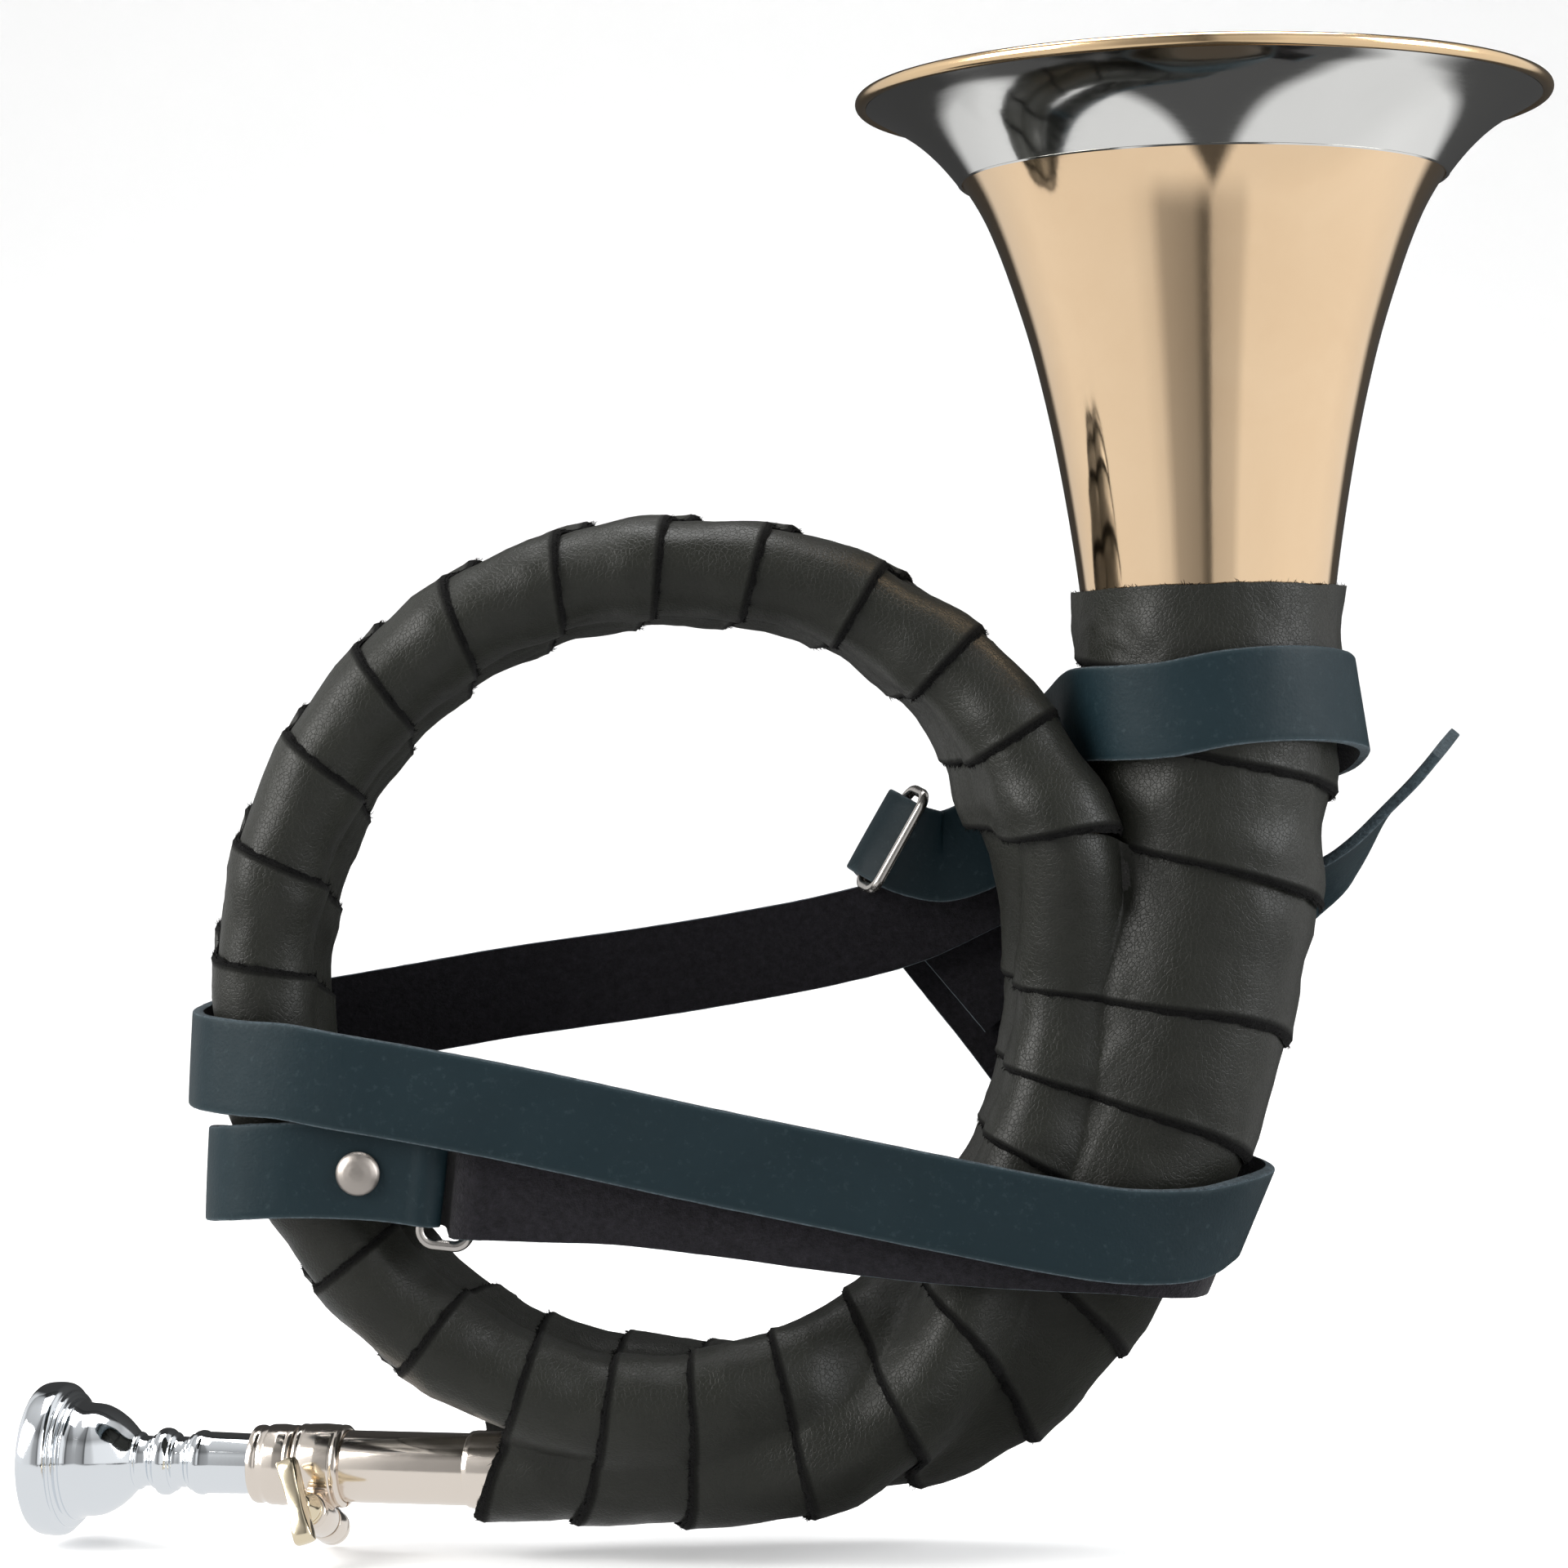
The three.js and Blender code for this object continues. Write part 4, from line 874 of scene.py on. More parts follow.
def lead_circle(deg):
    """where the lead crosses the plane at an angle, a little larger than the tube"""
    sin, cos = math.sin(math.radians(deg)), math.cos(math.radians(deg))
    slope = LEAD_AXIS[0] * sin - LEAD_AXIS[2] * cos
    point = lead_point(-(COLLAR[0] * sin - COLLAR[2] * cos) / slope)
    return [math.hypot(point[0], point[2]), point[1], LEAD_RADIUS + 0.5]


def wrapped_three(deg):
    """circles under the leather where it takes in three tubes"""
    if deg <= -104:
        return [lead_circle(deg), *two_tubes(deg + 360)]
    first, second, third = (np.array(circle) for circle in three_tubes(deg))
    if deg <= -86:
        return [lead_circle(deg), second, third + [0, 0, 0.3]]
    return [first + [0, 0, 0.2], second + [0, 0, 0.2 + 0.3 * ease(-40, 0, deg)],
            third + [0, 0, 0.4 + 0.9 * ease(-40, -10, deg)]]


def level_circles(z):
    """circles in a level plane through the right-hand side and the bell branch"""
    tubes = two_tubes(math.degrees(math.asin(z / 70)))
    return np.array([[math.sqrt(radial * radial - z * z), depth, radius + 0.4]
                     for radial, depth, radius in tubes] + [[97.3, 0, 18.6]])


THREE_DEGREES = [-118, -113, -107, -100, -90] + list(range(-80, 1, 10))
THREE_CIRCLES = np.array([wrapped_three(deg) for deg in THREE_DEGREES])


def three_circles(deg):
    return np.array([[np.interp(deg, THREE_DEGREES, THREE_CIRCLES[:, i, j]) for j in range(3)]
                     for i in range(3)])


def pair_rings():
    stations = np.arange(10, 276 + 1e-6, 2.0)
    return stations, np.array([polar(deg, *section(two_tubes(deg), 0.22).T).T
                               for deg in stations])


def three_rings():
    stations = np.arange(242, 386 + 1e-6, 2.0)
    merge_z = 8.0
    flat, merged = three_circles(0.0), level_circles(merge_z)
    rings = []
    for station in stations:
        deg = station - 360
        if deg <= 0:
            dip = 0.30 + 0.22 * ease(-60, -10, deg)
            rings.append(polar(deg, *section(three_circles(deg), dip).T).T)
            continue
        z = deg * LEVEL
        circles = flat + (merged - flat) * (z / merge_z) if z < merge_z else level_circles(z)
        circles[2, 2] -= 0.9 * ease(10, 24, z)
        points = section(circles, 0.52 + 0.40 * ease(6, 26, z))
        rings.append(np.stack([points[:, 0], points[:, 1], np.full(RING, z)], 1))
    rings = np.array(rings)
    for _ in range(2):
        rings[1:-1] = 0.25 * rings[:-2] + 0.5 * rings[1:-1] + 0.25 * rings[2:]
    return stations, rings


def with_normals(stations, rings):
    along = np.gradient(rings, axis=0)
    around = (np.roll(rings, -1, 1) - np.roll(rings, 1, 1)) / 2
    normals = unit(np.cross(around, along))
    sign = np.sign(((rings - rings.mean(1, keepdims=True)) * normals).sum(2).mean())
    return stations, rings, normals * sign


PAIR_SURFACE = with_normals(*pair_rings())
THREE_SURFACE = with_normals(*three_rings())


def sample(stations, table, station, phi):
    """bilinear look-up by station and angle round the section"""
    place = (station - stations[0]) / (stations[1] - stations[0])
    place = np.clip(place, 0, len(stations) - 1.001)
    i = np.floor(place).astype(int)
    part = (place - i)[..., None]
    spot = (phi / (2 * math.pi) * RING) % RING
    j = np.floor(spot).astype(int) % RING
    ring_part = (spot - np.floor(spot))[..., None]
    j_next = (j + 1) % RING
    return ((table[i, j] * (1 - ring_part) + table[i, j_next] * ring_part) * (1 - part)
            + (table[i + 1, j] * (1 - ring_part) + table[i + 1, j_next] * ring_part) * part)


# ------------------------------------------------------------------ wrap strips
# A strip is followed in half turns: even on the outside of the bundle, odd on the inside.
PER_TURN = 150
FIBRES = 3.0
LEAD_TURN = 16     # the turn that first takes in the lead tube
# columns of the strip, mm from its free edge
EDGE_STEPS = [0.0, 0.35, 0.8, 1.6, 2.8, 4.2, 5.8, 7.6, 9.6, 11.8, 14.2, 17.0, 20.0, 23.5]


def seam_curve(values):
    """seam position by half turns, smooth and monotone"""
    values = np.asarray(values, float)
    count = len(values)
    diff = np.diff(values)
    slope = np.zeros(count)
    slope[0], slope[-1] = diff[0], diff[-1]
    for i in range(1, count - 1):
        before, after = diff[i - 1], diff[i]
        slope[i] = 0 if before * after <= 0 else 2 * before * after / (before + after)

    def position(x):
        x = np.clip(x, 0, count - 1 - 1e-9)
        i = np.floor(x).astype(int)
        part = x - i
        return ((2 * part ** 3 - 3 * part ** 2 + 1) * values[i]
                + (part ** 3 - 2 * part ** 2 + part) * slope[i]
                + (-2 * part ** 3 + 3 * part ** 2) * values[i + 1]
                + (part ** 3 - part ** 2) * slope[i + 1])
    return position


def hairs(name, base, over, normal, count, length, seed):
    """short loose fibres that stand out of a cut edge"""
    random = np.random.RandomState(seed)
    place = random.rand(count) * (len(base) - 1.001)
    i = place.astype(int)
    part = (place - i)[:, None]
    root = base[i] * (1 - part) + base[i + 1] * part
    joined_up = np.linalg.norm(base[i + 1] - base[i], axis=1) < 3.0
    out, rise, along = unit(over[i]), unit(normal[i]), unit(base[i + 1] - base[i])
    draw = random.rand(count, 6)
    reach = length * (0.35 + 1.25 * draw[:, 0:1] ** 2.2)
    lean = unit(out * (0.25 + 0.75 * draw[:, 1:2]) + rise * (0.05 + 0.75 * draw[:, 2:3] ** 2)
                + along * (draw[:, 3:4] * 2 - 1) * 1.1)
    side = unit(np.cross(lean, rise + 0.01))
    other = np.cross(lean, side)
    radius = 0.055 + 0.04 * draw[:, 4:5]
    middle = root + lean * reach * 0.5
    bend = unit(lean + along * (draw[:, 5:6] * 2 - 1) * 0.9 - rise * 0.25)
    tip = middle + bend * reach * 0.5
    corners = []
    for centre, taper in ((root - lean * 0.15, 1.0), (middle, 0.75)):
        for k in range(3):
            turn = 2 * math.pi * k / 3
            corners.append(centre + (side * math.cos(turn) + other * math.sin(turn))
                           * radius * taper)
    verts = np.stack(corners + [tip], 1)[joined_up]
    faces = []
    for first in range(0, len(verts) * 7, 7):
        faces.append([first, first + 2, first + 1])
        for k in range(3):
            low, low_next = first + k, first + (k + 1) % 3
            faces += [[low, low_next, low_next + 3, low + 3], [low + 3, low_next + 3, first + 6]]
    build(name, (verts.reshape(-1, 3), faces), [WRAP_EDGE], "horn", "wrap_leather")


def build_band(name, rings, mats, column_mats, uv_at, end_uv, slot, crease, *nodes):
    """leather band over closed rings with flat ends in the second material"""
    count, size = rings.shape[:2]
    faces, corners = grid(count, size)
    face_mats = [column_mats[quad[0][1]] for quad in corners] + [1, 1]
    uvs = [uv_at(*corner) for quad in corners for corner in quad] + [end_uv] * (2 * size)
    last = (count - 1) * size
    faces += [list(range(size)), list(range(last, last + size))[::-1]]
    build(name, (rings.reshape(-1, 3), faces), mats, "horn", slot, *nodes,
          face_mats=face_mats, uvs=uvs, recalc=True, crease=crease)


def leather_lumps(points, dist, half_turns, gather, seed):
    """height of lumps and of short pleats that run across the strip from the free edge"""
    lump = np.zeros_like(dist)
    for i, half in enumerate(half_turns):
        for j in range(dist.shape[1]):
            x, y, z = points[i, j]
            away = dist[i, j]
            broad = (0.46 * perlin(x * 0.055 + seed, y * 0.075, z * 0.055)
                     + 0.36 * perlin(x * 0.15, y * 0.19 + seed, z * 0.15))
            lump[i, j] = (broad * (0.35 + 0.65 * min(1.0, away / 3.0))
                          + 0.17 * perlin(x * 0.42, y * 0.5, z * 0.42 + seed))
            pleat = perlin(half * 5.3 + seed, away * 0.10, 7.7)
            lump[i, j] += 0.22 * max(0.0, pleat) * (0.4 + 0.6 * gather[i])
    return lump


def strip(name, nodes, seams, surface, scale_of, end_top, *, thick, overlap, start_lift, hook,
          trim, seed, late=0.0):
    """leather wound round a bundle, each turn lying over the start of the next
    surface: (position, phi, half turns) to points and normals; scale_of: position per mm
    overlap, late: extra width throughout and in the last turn; trim: half turns left off"""
    seam_at = seam_curve(seams)
    halves = len(seams) - 3 - trim
    count = int(PER_TURN * halves / 2) + 1
    half = np.linspace(0, halves, count)
    phi = half * math.pi % (2 * math.pi)
    signed = (phi + math.pi) % (2 * math.pi) - math.pi
    from_inside = np.abs(signed) - math.pi
    scale = scale_of(half)
    wave = np.array([0.16 * perlin(x * 1.7, 3.1 + seed, 0.5)
                     + 0.10 * perlin(x * 6.3, 9.7 + seed, 1.5) for x in half])

    # free edge and hidden edge
    hooked = -hook * hump(signed, 0.42) * (1 - hump(half - 2.0 * LEAD_TURN, 0.5))
    edge = seam_at(half) + hooked + wave * scale * 1.4
    far = (seam_at(half + 2) + overlap
           + late * ease(half[-1] - 2.45, half[-1] - 1.95, half))
    far = np.minimum(far, end_top(phi, half))
    near = np.array(EDGE_STEPS)[None, :]
    width = np.maximum((far - edge)[:, None] / scale[:, None], 4.0)
    dist = np.where(near < 3.0, near,
                    3.0 + (near - 3.0) * (width - 3.0) / (EDGE_STEPS[-1] - 3.0))
    position = np.minimum(edge[:, None] + dist * scale[:, None],
                          np.maximum(far, edge + 0.3)[:, None])
    points, normals = surface(position, np.broadcast_to(phi[:, None], position.shape), half)

    # height over the bundle: raised at the free edge, down to nothing under the next turn
    lip = 0.35 + 0.65 * hump(signed, 0.9) + 0.25 * hump(from_inside, 0.8)
    gather = hump(from_inside, 0.9)
    lift = 0.88 * (1 - 0.35 * gather[:, None]) * (1 - ease(3.5, 13.0, dist))
    lift = lift + (0.42 * lip[:, None]) * np.exp(-dist / 1.3)
    lift = lift + start_lift * (1 - ease(0.6, 2.2, half))[:, None] * (1 - ease(5, 16, dist))
    lump = leather_lumps(points, dist, half, gather, seed)
    top = lift + thick + lump

    # the skived edge runs down and out over the neighbouring turn
    fray = np.array([0.34 * perlin(t * 0.61, 5.0 + seed, 0) + 0.26 * perlin(t * 0.23, 2.0 + seed, 1)
                     for t in half * 75.0])
    skive = np.maximum(0.86 + 0.34 * lip + fray, 0.15)
    tips, tip_normals = surface((edge - skive * scale)[:, None], phi[:, None], half)
    tips, tip_normals = tips[:, 0], tip_normals[:, 0]

    # rings: top side, hidden edge, three columns back under, skived tip, cut face
    columns = len(EDGE_STEPS)
    back = [columns - 4, 5, 2]
    hidden = points[:, -1] + normals[:, -1] * (lift[:, -1:] + lump[:, -1:] + 0.12)
    under = points + normals * (top - thick * 0.92)[..., None]
    tip = tips + tip_normals * (top[:, 0:1] - thick * 0.93)
    cut = (tips * 0.5 + points[:, 0] * 0.5
           + normals[:, 0] * (top[:, 0:1] - thick * 0.36 + 0.25 * fray[:, None]))
    rings = np.concatenate([points + normals * top[..., None], hidden[:, None], under[:, back],
                            tip[:, None], cut[:, None]], 1)
    edge_mm = np.column_stack([dist, dist[:, -1], dist[:, back], -skive, np.full(count, -0.2)])
    size = rings.shape[1]
    run = run_length(points[:, 3])
    build_band(name, rings, [WRAP, WRAP_EDGE, WRAP_BACK],
               [0] * (columns - 1) + [2] * 5 + [1] * 2,
               lambda i, j: (edge_mm[i, j] if j < size else 0.0, run[i]),
               (0.2, 0.0), "wrap_leather", 55, *nodes)

    seam = tips * 0.6 + points[:, 0] * 0.4 + normals[:, 0] * (top[:, 0:1] - thick * 0.55)
    hairs(name + "_fibres", seam, tips - points[:, 0], normals[:, 0],
          int(FIBRES * run[-1] * 0.9), 1.0, int(seed * 10))
    last = half > half[-1] - 1.95
    rim = points[:, -1] + normals[:, -1] * (lift[:, -1:] + lump[:, -1:] + thick * 0.5)
    hairs(name + "_end_fibres", rim[last], (points[:, -1] - points[:, -3])[last],
          normals[last, -1], 170, 0.7, int(seed * 10) + 5)


# ------------------------------------------------------------------ wrap on the coil
# outside and inside end of each turn's free edge, degrees round the coil
COIL_SEAMS = [
    17.0, 25.6, 34.0, 36.6, 47.2, 50.0, 61.2, 64.2, 76.0, 79.0, 88.0, 93.0, 101.3, 107.6,
    116.3, 122.6, 130.2, 136.0, 144.3, 149.2, 159.0, 164.8, 174.2, 179.6, 189.5, 194.0,
    204.5, 208.0, 219.5, 221.6, 233.7, 237.2, 250.2, 249.4, 261.0, 262.0, 272.2, 274.2,
    285.0, 286.6, 297.4, 299.4, 309.8, 311.4, 321.6, 323.4, 332.6, 335.0, 344.0, 346.6,
    355.4, 360.2, 368.0, 379.0, 384.0]
# angle round the section, height of the upper end of the wrap
COIL_END = np.array([
    [0, 18.0], [45, 22.5], [80, 25.0], [110, 27.0], [135, 28.0], [180, 31.5], [225, 32.6],
    [270, 33.8], [315, 34.4], [360, 34.6]])


def coil_surface(position, phi, half):
    # 0 on the two-tube turns, 1 once the lead tube is taken in
    lead_half = 2.0 * LEAD_TURN
    three = np.broadcast_to(ease(lead_half - 1.0, lead_half, half)[:, None], position.shape)
    three = np.where(position > 272, 1.0, three)
    three = np.where(position < 244, 0.0, three)[..., None]
    points, normals = (sample(PAIR_SURFACE[0], PAIR_SURFACE[i], position, phi) * (1 - three)
                       + sample(THREE_SURFACE[0], THREE_SURFACE[i], position, phi) * three
                       for i in (1, 2))
    normals = unit(normals)
    # lifted near the inside of the last turn, where the wrap lies over the start of the sleeve
    near_end = ease(49.2, 49.6, half) * (1 - ease(49.98, 50.03, half))
    lift = 0.9 * ease(10, 24, (position - 360) * LEVEL) * near_end[:, None]
    return points + normals * lift[..., None], normals


def coil_scale(half):
    """degrees in one millimetre, taken half way out on the bundle"""
    return np.interp(half, [0, 30, 44, 54], [0.76, 0.76, 0.72, 0.66])


def coil_top(phi, half):
    height = np.interp(np.degrees(phi), COIL_END[:, 0], COIL_END[:, 1])
    rag = np.array([0.3 * perlin(x * 9.0, 2.3, 4.4) for x in half])
    # out of reach until the last turns
    return 360 + (height + rag) / LEVEL + 900 * (1 - ease(47.5, 48.0, half))


strip("leather_wrap_coil", ("leather_wrap_ring", "leather_wrap_lower"), COIL_SEAMS,
      coil_surface, coil_scale, coil_top, thick=0.88, overlap=5.0, start_lift=1.5, hook=1.3,
      trim=0.55, seed=1.3, late=16.0)

# ------------------------------------------------------------------ wrap on the bell branch
# outside and inside end of each turn's free edge, height
BRANCH_SEAMS = [12.5, 26.5, 33.0, 45.0, 50.0, 57.5, 67.3, 80.0, 95.0]
BRANCH_CLEARANCE = 0.40
# height, radius, x of the centre
BRANCH = np.array([
    [-2, 16.8, 95.9], [6, 17.1, 96.4], [14, 17.6, 97.0], [21, 18.0, 97.5],
    [27, 18.5, BELL_X], [33, 20.3, BELL_X], [39, 20.8, BELL_X], [46, 21.25, BELL_X],
    [58, 21.95, BELL_X], [69.5, 23.1, BELL_X], [75, 23.8, BELL_X]])


def branch_surface(position, phi, half):
    radius = np.interp(position, BRANCH[:, 0], BRANCH[:, 1] + BRANCH_CLEARANCE)
    centre_x = np.interp(position, BRANCH[:, 0], BRANCH[:, 2])
    normals = np.stack([np.cos(phi), -np.sin(phi), np.zeros_like(phi)], -1)
    centre = np.stack([centre_x, np.zeros_like(position), position], -1)
    return centre + normals * radius[..., None], normals


def branch_top(phi, half):
    rag = np.array([0.25 * perlin(x * 9.0, 0.3, 4.4) + 0.14 * perlin(x * 31.0, 1.3, 4.4)
                    for x in half])
    return 69.6 + 0.25 * np.cos(phi) + rag


strip("leather_wrap_bell_branch", ("leather_wrap_bell",), BRANCH_SEAMS, branch_surface,
      np.ones_like, branch_top, thick=0.9, overlap=4.0, start_lift=1.25, hook=0.4, trim=0.35,
      seed=7.7)

# ------------------------------------------------------------------ braces
# distance along the stay, radius
STAY = [(-4.5, 0.5), (-4.2, 0.85), (-3.4, 0.9), (-2.0, 0.62), (0, 0.55), (2.0, 0.62),
        (3.4, 0.9), (4.2, 0.85), (4.5, 0.5)]
for node, deg in (("winding_brace_top", 95), ("winding_brace_left", 175)):
    (radial0, depth0, radius0), (radial1, depth1, radius1) = two_tubes(deg)
    touch = (depth0 * radius1 + depth1 * radius0) / (radius0 + radius1)
    centre = polar(deg, (radial0 + radial1) / 2 + 4.6, touch)
    along = np.array([-math.sin(math.radians(deg)), 0, math.cos(math.radians(deg))])
    build(node + "_stay", wire([centre + along * x for x, _ in STAY], [r for _, r in STAY], 16),
          [YELLOW_BRASS], "horn", "yellow_brass", node)

# ------------------------------------------------------------------ straps
STRAP_WIDTH, STRAP_THICK = 16.6, 2.0
REAR_BAR = (0.5, 0, 0.866)     # direction of the rear buckle's bar
# centre x, y, z and the direction across the strap
LOWER_STRAP = [
    (-61.5, -19.3, -31.1, 0.12, 0, 0.99), (-49.1, -19.3, -31.8, 0.12, 0, 0.99),
    (-45.0, -18.3, -32.6, 0.12, 0, 0.99), (-42.0, -17.95, -32.8, 0.12, 0, 0.99),
    (-39.8, -20.3, -32.9, 0.12, 0, 0.99), (-42.0, -22.65, -32.6, 0.12, 0, 0.99),
    (-45.0, -22.3, -32.1, 0.12, 0, 0.99), (-50.2, -21.8, -31.5, 0.12, 0, 0.99),
    (-60.1, -21.7, -30.9, 0.12, 0, 0.99), (-69.0, -21.0, -30.9, 0.05, 0, 1.0),
    (-76.0, -18.2, -31.4, 0.05, 0, 1.0), (-79.9, -12.8, -32.0, 0.05, 0, 1.0),
    (-81.6, -5, -32.6, 0.05, 0, 1.0), (-82.2, 5, -33.2, 0.05, 0, 1.0),
    (-81.2, 13, -34.0, 0.05, 0, 1.0), (-77.6, 18.6, -34.6, 0.05, 0, 1.0),
    (-71.0, 20.0, -35.2, 0.05, 0, 1.0), (-60.0, 20.0, -36.0, 0.05, 0, 1.0),
    (-50, 20.0, -36.2, 0.1, 0, 0.99), (-43.4, 17.6, -36.2, 0.1, 0, 0.99),
    (-39.9, 9, -36.0, 0.1, 0, 0.99), (-38.0, -6, -35.5, 0.1, 0, 0.99),
    (-36.9, -16.5, -35.0, 0.1, 0, 0.99), (-36.1, -21.6, -34.9, 0.1, 0, 0.99),
    (-33.4, -23.1, -34.9, 0.1, 0, 0.99), (-30.0, -22.3, -35.1, 0.1, 0, 0.99),
    (-22.0, -21.4, -35.6, 0.1, 0, 0.99), (-9, -21.2, -36.2, 0.14, 0, 0.99),
    (10, -21.0, -38.6, 0.14, 0, 0.99), (28.2, -21.0, -41.3, 0.14, 0, 0.99),
    (50, -21.0, -44.0, 0.14, 0, 0.99), (68, -20.6, -45.4, 0.14, 0, 0.99),
    (79, -19.2, -46.2, 0.38, 0, 0.925), (87.6, -16.4, -47.4, 0.38, 0, 0.925),
    (95.6, -11.0, -48.2, 0.38, 0, 0.925), (98.8, 0, -48.4, 0.38, 0, 0.925),
    (95.8, 10.4, -46.8, 0.42, 0, 0.9), (89.6, 16.8, -42.2, 0.55, 0, 0.84),
    (87.5, 18.6, -32, 0.9, 0, 0.3), (90.5, 20.4, -18, 0.93, 0, -0.36),
    (96.5, 21.6, -4, 0.93, 0, -0.36), (104, 22.6, 5, 0.93, 0, -0.36),
    (113.0, 23.5, 12.4, 0.7, 0.5, -0.5), (121.4, 17.5, 18.4, 0.3, 0.9, -0.3),
    (128.8, 10, 27.3, 0.1, 0.99, -0.05), (135.6, 4, 35.0, 0.1, 0.99, -0.05),
    (140.6, 0, 41.5, 0.1, 0.99, -0.05)]
LONG_STRAP = [
    (64.5, 22.6, -5.5, 0.72, 0, 0.69), (57.5, 22.6, 3.0, 0.7, 0, 0.7),
    (50.1, 22.7, 12.0, 0.66, 0, 0.75), (44.6, 22.5, 19.2, 0.6, 0, 0.8),
    (41.6, 21.6, 23.2, 0.54, 0, 0.84), (39.6, 20.7, 25.4, *REAR_BAR),
    (38.2, 19.8, 26.5, *REAR_BAR), (37.6, 18.0, 26.9, *REAR_BAR),
    (38.3, 16.2, 26.5, *REAR_BAR), (40.2, 14.3, 25.4, *REAR_BAR),
    (42.9, 12.7, 23.9, *REAR_BAR), (46.6, 13.4, 22.6, 0.42, 0, 0.9),
    (50.5, 14.6, 22.0, 0.2, 0, 0.98), (57.5, 15.4, 24.4, -0.15, 0, 0.98),
    (63.5, 15.6, 29.4, -0.4, 0, 0.9), (68.2, 13.6, 37.0, -0.36, 0, 0.93),
    (71.8, 7.6, 44.2, -0.15, 0, 0.99), (73.1, -1, 46.8, -0.03, 0, 1),
    (75.4, -10.6, 47.4, -0.06, 0, 1), (80.6, -18.8, 47.4, -0.12, 0, 0.99),
    (88.2, -23.6, 47.8, -0.12, 0, 0.98), (98.0, -25.2, 49.6, -0.05, 0, 1),
    (108.0, -23.0, 50.4, 0.0, 0, 1), (117.2, -16.8, 50.2, -0.08, 0, 1),
    (122.8, -8.6, 49.2, -0.14, 0, 0.99), (124.5, 1, 47.6, -0.16, 0, 0.99),
    (122.8, 11, 44.9, -0.1, 0, 0.99), (115.8, 19.6, 42.2, -0.2, 0, 0.96),
    (106.2, 24.6, 38.4, -0.35, 0, 0.93), (96, 25.4, 34.0, -0.4, 0, 0.9),
    (84, 23.6, 28.8, -0.4, 0, 0.9), (70, 20.4, 22.4, -0.4, 0, 0.9),
    (57, 18.9, 16.4, -0.36, 0, 0.92), (43.9, 19.1, 10.5, -0.3, 0, 0.95),
    (30.0, 19.4, 6.9, -0.2, 0, 0.97), (15.6, 20, 4.2, -0.16, 0, 0.98),
    (-3.0, 20.4, 1.3, -0.13, 0, 0.99), (-29.6, 20.4, -2.2, -0.13, 0, 0.99),
    (-48, 20.2, -5.2, -0.12, 0, 0.99), (-63, 19.9, -7.6, -0.1, 0, 0.99),
    (-74.4, 19.3, -9.4, 0, 0, 1), (-81.4, 14.8, -10.6, 0, 0, 1),
    (-84.5, 6, -11.6, 0.03, 0, 1), (-84.3, -5, -12.0, 0.06, 0, 1),
    (-80.8, -14.8, -12.4, 0.08, 0, 1), (-74.4, -19.6, -13.0, 0.1, 0, 0.99),
    (-67, -22.9, -13.4, 0.13, 0, 0.99), (-58.3, -24.7, -15.0, 0.16, 0, 0.98),
    (-46, -25.4, -17.2, 0.18, 0, 0.98), (-29.9, -25.6, -20.4, 0.2, 0, 0.98),
    (-13.1, -25.2, -24.2, 0.21, 0, 0.97), (4.4, -24.6, -28.3, 0.21, 0, 0.97),
    (26.1, -24.0, -33.1, 0.21, 0, 0.97), (47.2, -23.7, -37.7, 0.21, 0, 0.97),
    (65.7, -23.6, -41.6, 0.2, 0, 0.98), (80, -22.6, -44.0, 0.22, 0, 0.97),
    (92.4, -19.0, -44.2, 0.3, 0, 0.95), (100.6, -11.4, -42.6, 0.37, 0, 0.93),
    (104.7, 0, -41.8, 0.4, 0, 0.915), (102.8, 12.0, -41.0, 0.45, 0, 0.89),
    (94.4, 21.2, -39.6, 0.52, 0, 0.85), (81.0, 23.8, -35.5, 0.75, 0, 0.66),
    (70, 25.2, -20.5, 0.75, 0, 0.62), (60, 25.8, -7.0, 0.72, 0, 0.65),
    (50.6, 25.9, 5.0, 0.66, 0, 0.7), (43.0, 25.6, 15.0, 0.62, 0, 0.75)]


def strap_section():
    """(across, up) round the strap, and the material of each face: grain, edge or flesh"""
    wide, high, corner = STRAP_WIDTH / 2, STRAP_THICK / 2, 0.42

    def rounding(side, degrees):
        return [(side * (wide - corner + corner * math.cos(math.radians(deg))),
                 high - corner + corner * math.sin(math.radians(deg))) for deg in degrees]
    flat = wide - corner
    points = [(x, high + 0.06 * (1 - (x / wide) ** 2))
              for x in (-flat, -wide * 0.8, -wide * 0.45, 0, wide * 0.45, wide * 0.8, flat)]
    points += rounding(1, (68, 35, 8))
    points += [(wide + 0.02, high * 0.2), (wide + 0.02, -high * 0.45)]
    points += [(wide - 0.12, -high + 0.08)]
    points += [(wide * part, -high) for part in (0.75, 0.3, -0.3, -0.75)]
    points += [(-wide + 0.12, -high + 0.08)]
    points += [(-wide - 0.02, -high * 0.45), (-wide - 0.02, high * 0.2)]
    points += rounding(-1, (8, 35, 68))
    return points, [0] * 7 + [1] * 5 + [2] * 5 + [1] * 5 + [0]


